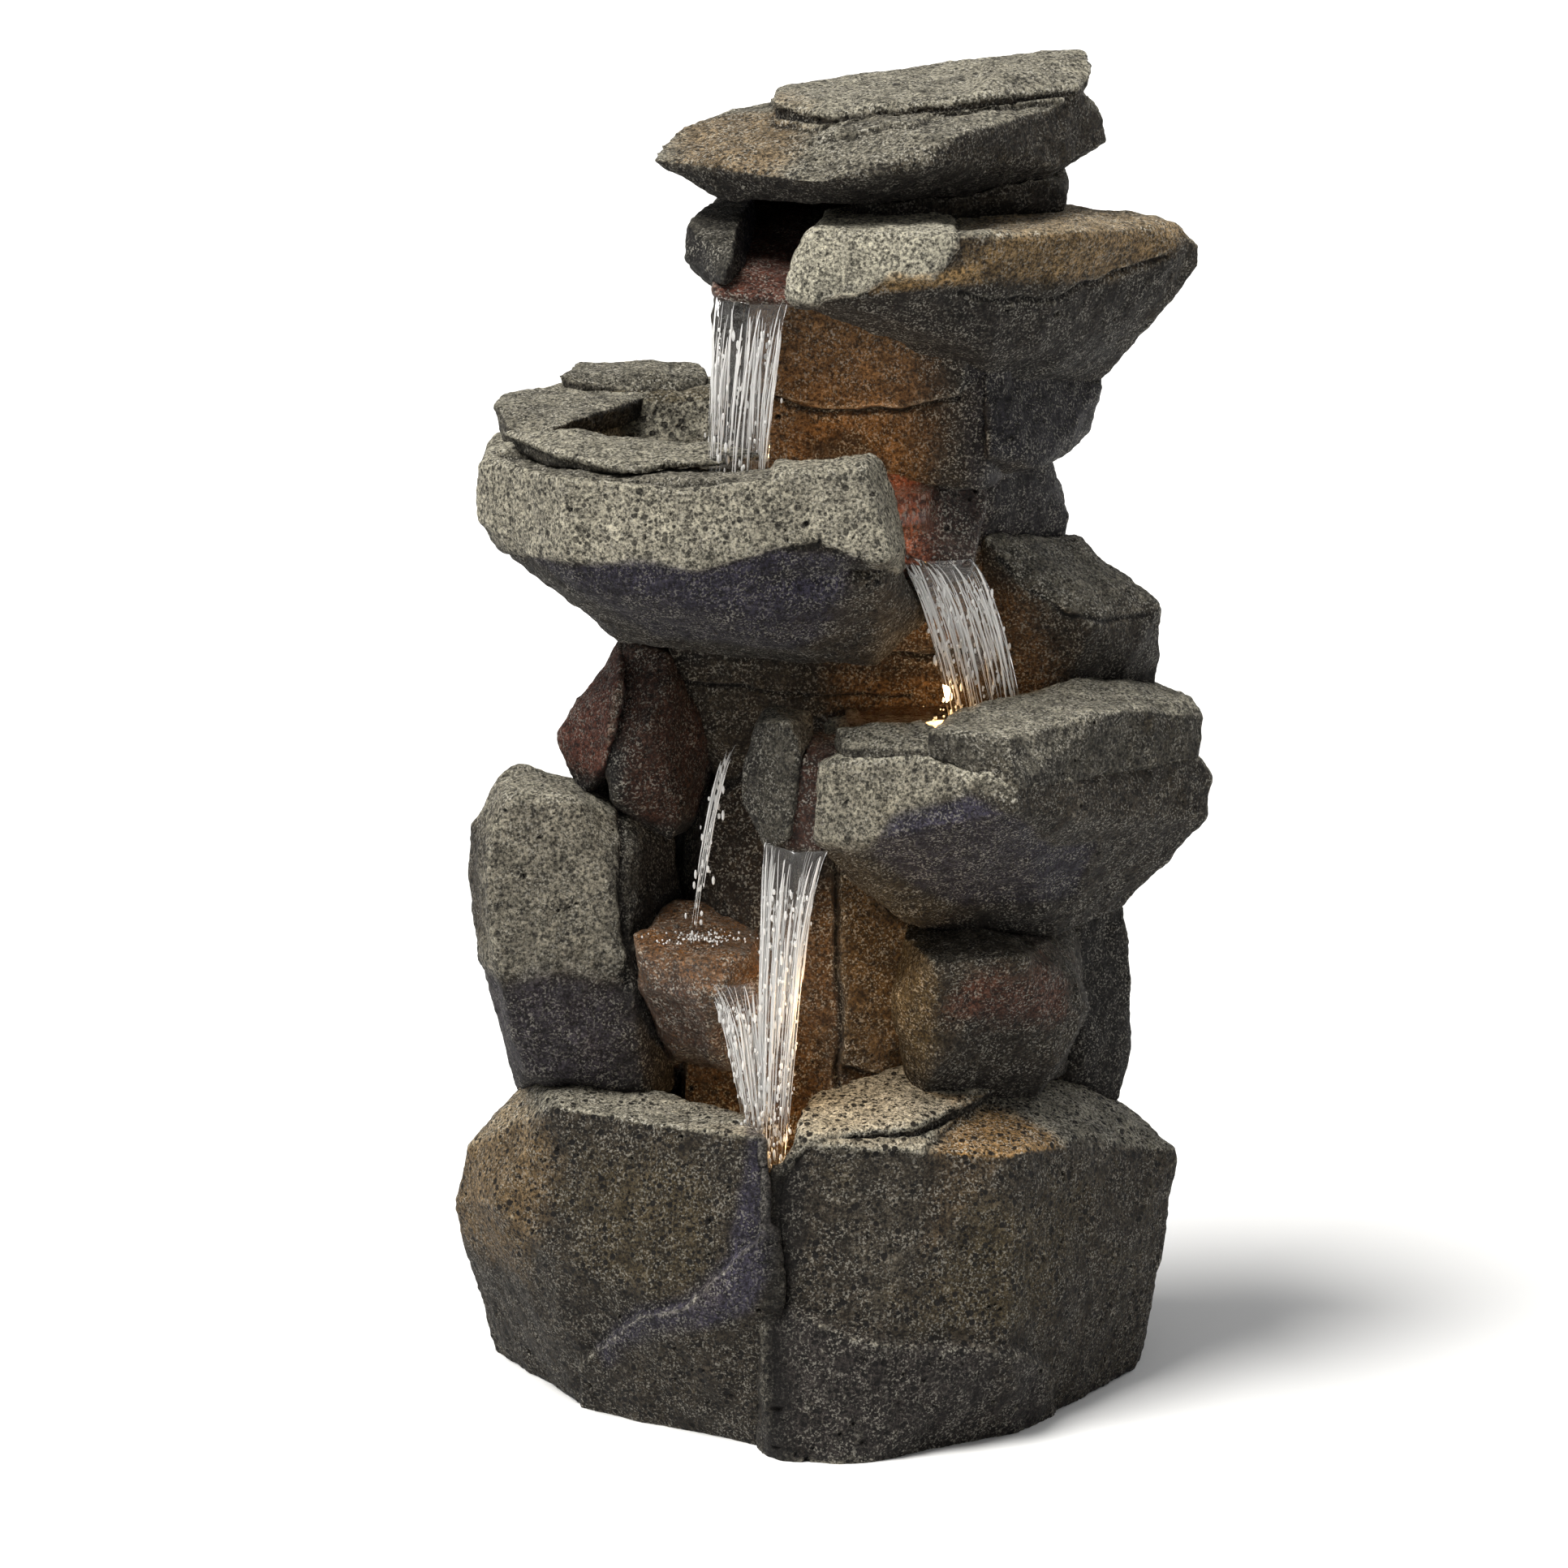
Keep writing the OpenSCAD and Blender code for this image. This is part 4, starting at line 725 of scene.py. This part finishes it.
def water_material(name, rough, tint=(1, 1, 1), clear=1.0):
    m, t, b = tree(name)
    at = add(t, "ShaderNodeTexCoord").outputs["Object"]
    wave = add(t, "ShaderNodeTexNoise", [("Vector", at)], Scale=160.0, Detail=3.0).outputs[0]
    t.links.new(maths(t, "ADD", maths(t, "MULTIPLY", wave, 0.08), rough - 0.03), b.inputs["Roughness"])
    b.inputs["Base Color"].default_value = (*tint, 1)
    b.inputs["Transmission Weight"].default_value = clear
    b.inputs["IOR"].default_value = 1.33
    bump = add(t, "ShaderNodeBump", [("Height", wave)], Strength=0.35, Distance=0.002)
    t.links.new(bump.outputs[0], b.inputs["Normal"])
    return m


def glow_material(name, colour, strength):
    m, t, b = tree(name)
    at = add(t, "ShaderNodeTexCoord").outputs["Object"]
    n = add(t, "ShaderNodeTexNoise", [("Vector", at)], Scale=300.0).outputs[0]
    t.links.new(blend_colour(t, n, colour, (1.0, 0.9, 0.7)), b.inputs["Base Color"])
    b.inputs["Emission Color"].default_value = (*colour, 1)
    b.inputs["Emission Strength"].default_value = strength
    b.inputs["Roughness"].default_value = 0.2
    return m


MATERIALS = {
    "tub_plastic": plastic_material("tub_plastic", (0.012, 0.012, 0.013), 0.5, 0.08),
    "rubber_black": plastic_material("rubber_black", (0.01, 0.01, 0.01), 0.75, 0.1),
    "knob_plastic": plastic_material("knob_plastic", (0.014, 0.014, 0.015), 0.42, 0.08),
    "pump_plastic": plastic_material("pump_plastic", (0.013, 0.013, 0.014), 0.38, 0.05),
    "rotor_plastic": plastic_material("rotor_plastic", (0.6, 0.6, 0.56), 0.35, 0.03),
    "steel": plastic_material("stainless_steel", (0.55, 0.55, 0.54), 0.28, 0.03, metal=1.0),
    "dial_plastic": plastic_material("dial_plastic", (0.16, 0.17, 0.19), 0.45, 0.05),
    "clear_vinyl": plastic_material("clear_vinyl", (0.7, 0.74, 0.72), 0.25, 0.02, clear=0.6),
    "light_board": plastic_material("light_board", (0.7, 0.68, 0.55), 0.4, 0.03),
    "light_lens": glow_material("warm_light_lens", (1.0, 0.55, 0.18), 3.0),
    "lead_jacket": plastic_material("lead_jacket", (0.012, 0.012, 0.012), 0.5, 0.05),
}
STONE = stone_material()

# ------------------------------------------------------------------ build the stones


SMALL_STONES = {
    "finger_stone", "middle_lip", "middle_rim_slab", "middle_rim_stone", "shard_left", "spout_cheek", "upper_chute",
    "upper_slab_back", "upper_slab_front", "upper_slab_left",
}
VOXEL = 0.0032
FINE_VOXEL = 0.0022


def build_stone(name, seed):
    convex, base, pitted, pale, facets, wet = STONES[name]
    voxel = FINE_VOXEL if name in SMALL_STONES else VOXEL
    o = rough_block(name, convex, voxel, 1)
    me = o.data
    p, n0 = arrays(me)
    e = edges(me)
    if name == "upper_bowl":
        crease = step(0.600, 0.612, p[:, 2]) * step(0.672, 0.660, p[:, 2]) * step(0.08, 0.04, p[:, 0])
        crease = crease[:, None]
        for _ in range(150):
            p = p + 0.8 * crease * (around(p, e, p) - p)
        put(me, p)
        p, n0 = arrays(me)
    move, hole, groove, smoother = shape(name, p, n0, seed, pitted, facets)
    if name in ("column_lower", "service_door"):
        near = step(0.080, 0.066, np.abs(p[:, 0])) * step(0.080, 0.066, np.abs(p[:, 2] - 0.27))
        near = near * step(0.09, 0.10, p[:, 1])
        if name == "service_door":
            near = 1 - 0.5 * step(0.1385, 0.1395, p[:, 1])
        move, hole = move * (1 - near), hole * (1 - near)
    else:
        move = move + 0.0008
    p = p + n0 * move[:, None]
    p[:, 2] = np.maximum(p[:, 2], 0.0)
    put(me, p)
    smooth_flags(me)
    p, n = arrays(me)
    flow = around(p, e, p)
    for _ in range(2):
        flow = around(p, e, flow)
    curve = np.einsum("ij,ij->i", p - flow, n) / 0.0010
    for _ in range(12):
        flow = around(p, e, flow)
    cave = np.einsum("ij,ij->i", p - flow, n) / 0.0030
    if name == "upper_bowl":
        curve, cave = curve * (1 - crease[:, 0]), cave * (1 - crease[:, 0])
    colour, speck_and_glint, wetness = paint(name, p, n, n0, hole, groove, curve, cave, base, pale, wet, seed)
    give(me, "tint", "FLOAT_COLOR", colour)
    give(me, "speck_and_glint", "FLOAT", speck_and_glint)
    give(me, "wet", "FLOAT", wetness)
    give(me, "porous", "FLOAT", np.clip(pitted * (1 - 0.85 * smoother), 0, 1))
    me.materials.clear()
    me.materials.append(STONE)
    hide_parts(name)
    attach(o, body_of[name])
    return o


for k, name in enumerate(STONES):
    build_stone(name, 3 + 7 * k)

# ------------------------------------------------------------------ CAD nodes that stay

for name, o in nodes.items():
    if name in STONES:
        continue
    o.data.materials.clear()
    o.data.materials.append(MATERIALS[slot_of[name]])

# ------------------------------------------------------------------ water

random = np.random.default_rng(12)
WATER = water_material("water_clear", 0.04)
STREAK = water_material("water_streak", 0.10, (1, 0.99, 0.97), 0.5)


def tube_mesh(paths, sides=6):
    """Closed tubes: each path is (points, radii)."""
    verts, faces, at = [], [], 0
    for pts, rad in paths:
        n = len(pts)
        d = np.gradient(pts, axis=0)
        d /= np.linalg.norm(d, axis=1, keepdims=True) + 1e-9
        s = np.cross(d, (0, 1, 0))
        s /= np.linalg.norm(s, axis=1, keepdims=True) + 1e-9
        u = np.cross(d, s)
        for k in range(sides):
            a = 2 * math.pi * k / sides
            verts.append(pts + rad[:, None] * (math.cos(a) * s + math.sin(a) * u))
        for i in range(n - 1):
            for k in range(sides):
                j = (k + 1) % sides
                faces.append((at + k * n + i, at + j * n + i, at + j * n + i + 1, at + k * n + i + 1))
        faces.append([at + k * n for k in range(sides)][::-1])
        faces.append([at + k * n + n - 1 for k in range(sides)])
        at += n * sides
    return np.concatenate(verts), faces


def drop_mesh(centres, radii, stretch):
    """Many small drops as one mesh."""
    bm = bmesh.new()
    bmesh.ops.create_icosphere(bm, subdivisions=2, radius=1.0)
    unit = np.array([v.co for v in bm.verts])
    tris = np.array([[v.index for v in f.verts] for f in bm.faces])
    bm.free()
    verts = np.concatenate([c + unit * (r, r, r * s) for c, r, s in zip(centres, radii, stretch)])
    faces = np.concatenate([tris + len(unit) * k for k in range(len(centres))])
    return verts, faces


def piece(name, verts, faces, material, body="stonework"):
    me = bpy.data.meshes.new(name)
    me.from_pydata(np.asarray(verts).tolist(), [], [list(map(int, f)) for f in faces])
    me.update()
    smooth_flags(me)
    me.materials.append(material)
    o = linked(name, me)
    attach(o, body)
    return o


def fall(name, top, bottom, strands, thick, spread=0.003, sheet=True, drops=60, early=0.3):
    """Water from the lip points `top` to the landing points `bottom` (mm), side by side."""
    top, bottom = np.array(top) * MM, np.array(bottom) * MM

    def along(points, s):
        t = np.linspace(0, 1, len(points))
        return np.stack([np.interp(s, t, points[:, k]) for k in range(3)], -1)

    def at(s, t):
        a, b = along(top, s), along(bottom, s)
        w = (1 - early) * t + early * t ** 0.7
        fallen = 0.35 * t + 0.65 * t * t
        return np.stack([a[..., k] + (b[..., k] - a[..., k]) * (w, w, fallen)[k] for k in range(3)], -1)

    if sheet:
        ns, nt = 44, 90
        s, t = np.meshgrid(np.linspace(0, 1, ns), np.linspace(0, 1, nt))
        p = at(s, t).reshape(-1, 3)
        wave = 0.0012 * noise(p * (1, 1, 0.18), 0.006, 3) + 0.0016 * noise(p * (1, 1, 0.3), 0.016, 4)
        p[:, 1] += wave
        half = 0.0005 + 0.0006 * np.abs(noise(p * (1, 1, 0.1), 0.004, 5))
        front, back = p.copy(), p.copy()
        front[:, 1] -= half
        back[:, 1] += half
        verts = np.concatenate([front, back])
        n = ns * nt
        faces = []
        for i in range(nt - 1):
            for k in range(ns - 1):
                q = (i * ns + k, i * ns + k + 1, (i + 1) * ns + k + 1, (i + 1) * ns + k)
                faces.append(q)
                faces.append([x + n for x in q][::-1])
        rim = list(range(ns)) + [i * ns + ns - 1 for i in range(1, nt)]
        rim += [(nt - 1) * ns + k for k in range(ns - 2, -1, -1)] + [i * ns for i in range(nt - 2, 0, -1)]
        for a, b in zip(rim, rim[1:] + rim[:1]):
            faces.append((b, a, a + n, b + n))
        piece(name + "_sheet", verts, faces, WATER)
    paths = []
    for _ in range(strands):
        s0, a, b = random.uniform(0, 1), random.uniform(0, 0.5), random.uniform(0.55, 1.0)
        n = 36
        t = np.linspace(a, b, n)
        s = np.clip(s0 + 0.03 * np.sin(t * random.uniform(3, 9) + random.uniform(0, 6)), 0, 1)
        p = at(s, t)
        p[:, 1] += random.uniform(-spread, spread * 0.3)
        p[:, 0] += random.normal(0, 0.0006)
        r = thick * MM * (0.22 + 0.9 * random.uniform(0, 1) ** 2)
        r = r * np.sin(np.linspace(0.05, math.pi - 0.05, n)) ** 0.5
        r *= 1 + 0.45 * noise(p + random.uniform(0, 1), 0.012, 9)
        paths.append((p, np.clip(r, 0.00012, None)))
    v, f = tube_mesh(paths)
    piece(name + "_streaks", v, f, STREAK)
    if drops:
        t = random.uniform(0.25, 1.0, drops)
        c = at(random.uniform(0, 1, drops), t)
        c[:, 0] += random.normal(0, 0.003, drops) * t
        c[:, 1] += random.normal(0, 0.003, drops)
        v, f = drop_mesh(c, random.uniform(0.0004, 0.0013, drops), random.uniform(1.2, 3.5, drops))
        piece(name + "_drops", v, f, STREAK)


def pool(name, outline, level, depth, material, ripples=0.0006):
    """Standing water inside a given outline (mm)."""
    bm = bmesh.new()
    ring = [bm.verts.new((x * MM, y * MM, level * MM)) for x, y in outline]
    bm.faces.new(ring)
    bmesh.ops.triangulate(bm, faces=bm.faces)
    for _ in range(5):
        long = [e for e in bm.edges if e.calc_length() > 0.004]
        bmesh.ops.subdivide_edges(bm, edges=long, cuts=1, use_grid_fill=False)
        bmesh.ops.triangulate(bm, faces=[f for f in bm.faces if len(f.verts) > 4])
    top = list(bm.faces)
    ext = bmesh.ops.extrude_face_region(bm, geom=top)
    low = [v for v in ext["geom"] if isinstance(v, bmesh.types.BMVert)]
    bmesh.ops.translate(bm, verts=low, vec=(0, 0, -depth * MM))
    bmesh.ops.recalc_face_normals(bm, faces=bm.faces)
    me = bpy.data.meshes.new(name)
    bm.to_mesh(me)
    bm.free()
    p, n = arrays(me)
    up = p[:, 2] > (level - depth / 2) * MM
    p[:, 2] += up * ripples * (noise(p, 0.014, 5) + 0.6 * noise(p, 0.007, 6))
    put(me, p)
    smooth_flags(me)
    me.materials.append(material)
    o = linked(name, me)
    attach(o, "stonework")
    return o


fall("fall_top", [(-84, -158, 850), (-60, -166, 846), (-33, -166, 846)],
     [(-92, -162, 688), (-74, -166, 688), (-50, -162, 688)], 70, 1.0, drops=160)
fall("fall_upper", [(38, -124, 662), (66, -122, 650), (98, -112, 650)],
     [(88, -98, 510), (112, -96, 510), (142, -90, 510)], 90, 0.9, drops=220)
fall("fall_lower", [(-50, -166, 452), (-28, -170, 446), (-4, -172, 447)],
     [(-56, -150, 200), (-46, -152, 200), (-36, -150, 200)], 90, 0.85, drops=420)
fall("fall_thin", [(-72, -110, 520), (-66, -116, 515)], [(-106, -118, 372), (-98, -122, 372)],
     16, 0.6, drops=50, sheet=False)
fall("fall_ledge", [(-96, -152, 344), (-75, -156, 342), (-54, -152, 344)],
     [(-62, -150, 205), (-54, -152, 205), (-48, -150, 205)], 60, 0.8, drops=240)


def splash(name, centre, size, count):
    """Foam and drops where a fall lands."""
    c = np.array(centre) * MM + random.normal(0, 1, (count, 3)) * np.array(size) * MM
    c[:, 2] = centre[2] * MM + np.abs(c[:, 2] - centre[2] * MM)
    v, f = drop_mesh(c, random.uniform(0.0003, 0.0009, count), random.uniform(0.8, 1.6, count))
    piece(name, v, f, STREAK)


splash("splash_upper", (-70, -162, 702), (14, 5, 4), 120)
splash("splash_middle", (114, -95, 525), (18, 6, 5), 160)
splash("splash_ledge", (-96, -128, 369), (15, 9, 2), 110)
pool("water_upper", [(-200, -60), (-172, -140), (-10, -168), (66, -130), (90, -60), (90, 50), (-160, 40)],
     702, 30, WATER)
pool("water_middle", [(14, -150), (110, -182), (236, -60), (222, 52), (4, 52)], 525, 26, WATER)
pool("water_tub", [(-60, -152), (30, -162), (108, -134), (172, -52), (184, 0), (184, 88), (126, 149), (-126, 149),
                   (-189, 88), (-189, 0), (-160, -66), (-108, -116)], 136, 60, WATER)

# ------------------------------------------------------------------ floor, lights, camera

me = bpy.data.meshes.new("floor")
me.from_pydata([(-30, -30, 0), (30, -30, 0), (30, 30, 0), (-30, 30, 0)], [], [(0, 1, 2, 3)])
floor = linked("floor", me)
m, t, b = tree("pale_floor")
at = add(t, "ShaderNodeTexCoord").outputs["Object"]
n = add(t, "ShaderNodeTexNoise", [("Vector", at)], Scale=3.0, Detail=2.0).outputs[0]
t.links.new(blend_colour(t, n, (0.86, 0.86, 0.855), (0.90, 0.90, 0.895)), b.inputs["Base Color"])
b.inputs["Roughness"].default_value = 0.9
me.materials.append(m)

world = bpy.data.worlds.new("studio")
scene.world = world
world.use_nodes = True
world.node_tree.nodes["Background"].inputs[0].default_value = (1.0, 1.0, 1.0, 1)
world.node_tree.nodes["Background"].inputs[1].default_value = 0.28


def lamp(name, kind, at, energy, size=1.0, colour=(1, 1, 1), aim=None):
    d = bpy.data.lights.new(name, kind)
    d.energy = energy
    d.color = colour
    if kind == "AREA":
        d.shape = "DISK"
        d.size = size
    elif kind == "SUN":
        d.angle = size
    else:
        d.shadow_soft_size = size
    o = bpy.data.objects.new(name, d)
    o.location = at
    if aim is not None:
        o.rotation_euler = (Vector(aim) - Vector(at)).to_track_quat("-Z", "Y").to_euler()
    scene.collection.objects.link(o)
    return o


lamp("key", "SUN", (-2.0, -1.5, 5.4), 4.6, math.radians(28), (1, 0.985, 0.955), (0, 0, 0.4))
lamp("rim", "SUN", (3.0, 3.5, 3.5), 0.6, math.radians(30), (0.97, 0.98, 1), (0, 0, 0.4))
WARM = (1.0, 0.65, 0.32)
lamp("glow_upper", "POINT", (0.010, -0.150, 0.716), 0.16, 0.012, WARM)
lamp("glow_middle", "POINT", (0.080, -0.096, 0.545), 0.11, 0.010, WARM)
lamp("glow_base", "POINT", (-0.010, -0.132, 0.215), 0.34, 0.014, WARM)
lamp("glow_ledge", "POINT", (0.004, -0.165, 0.325), 0.26, 0.020, WARM)

LENS_MM = 174.2
LOOKING_DOWN = 13.24
cam = bpy.data.cameras.new("camera")
cam.lens = LENS_MM
cam.sensor_width = 36.0
cam_o = bpy.data.objects.new("camera", cam)
cam_o.location = (-0.036, -5.5, 1.75)
cam_o.rotation_euler = (math.radians(90 - LOOKING_DOWN), 0, 0)
cam.clip_end = 100
scene.collection.objects.link(cam_o)
scene.camera = cam_o
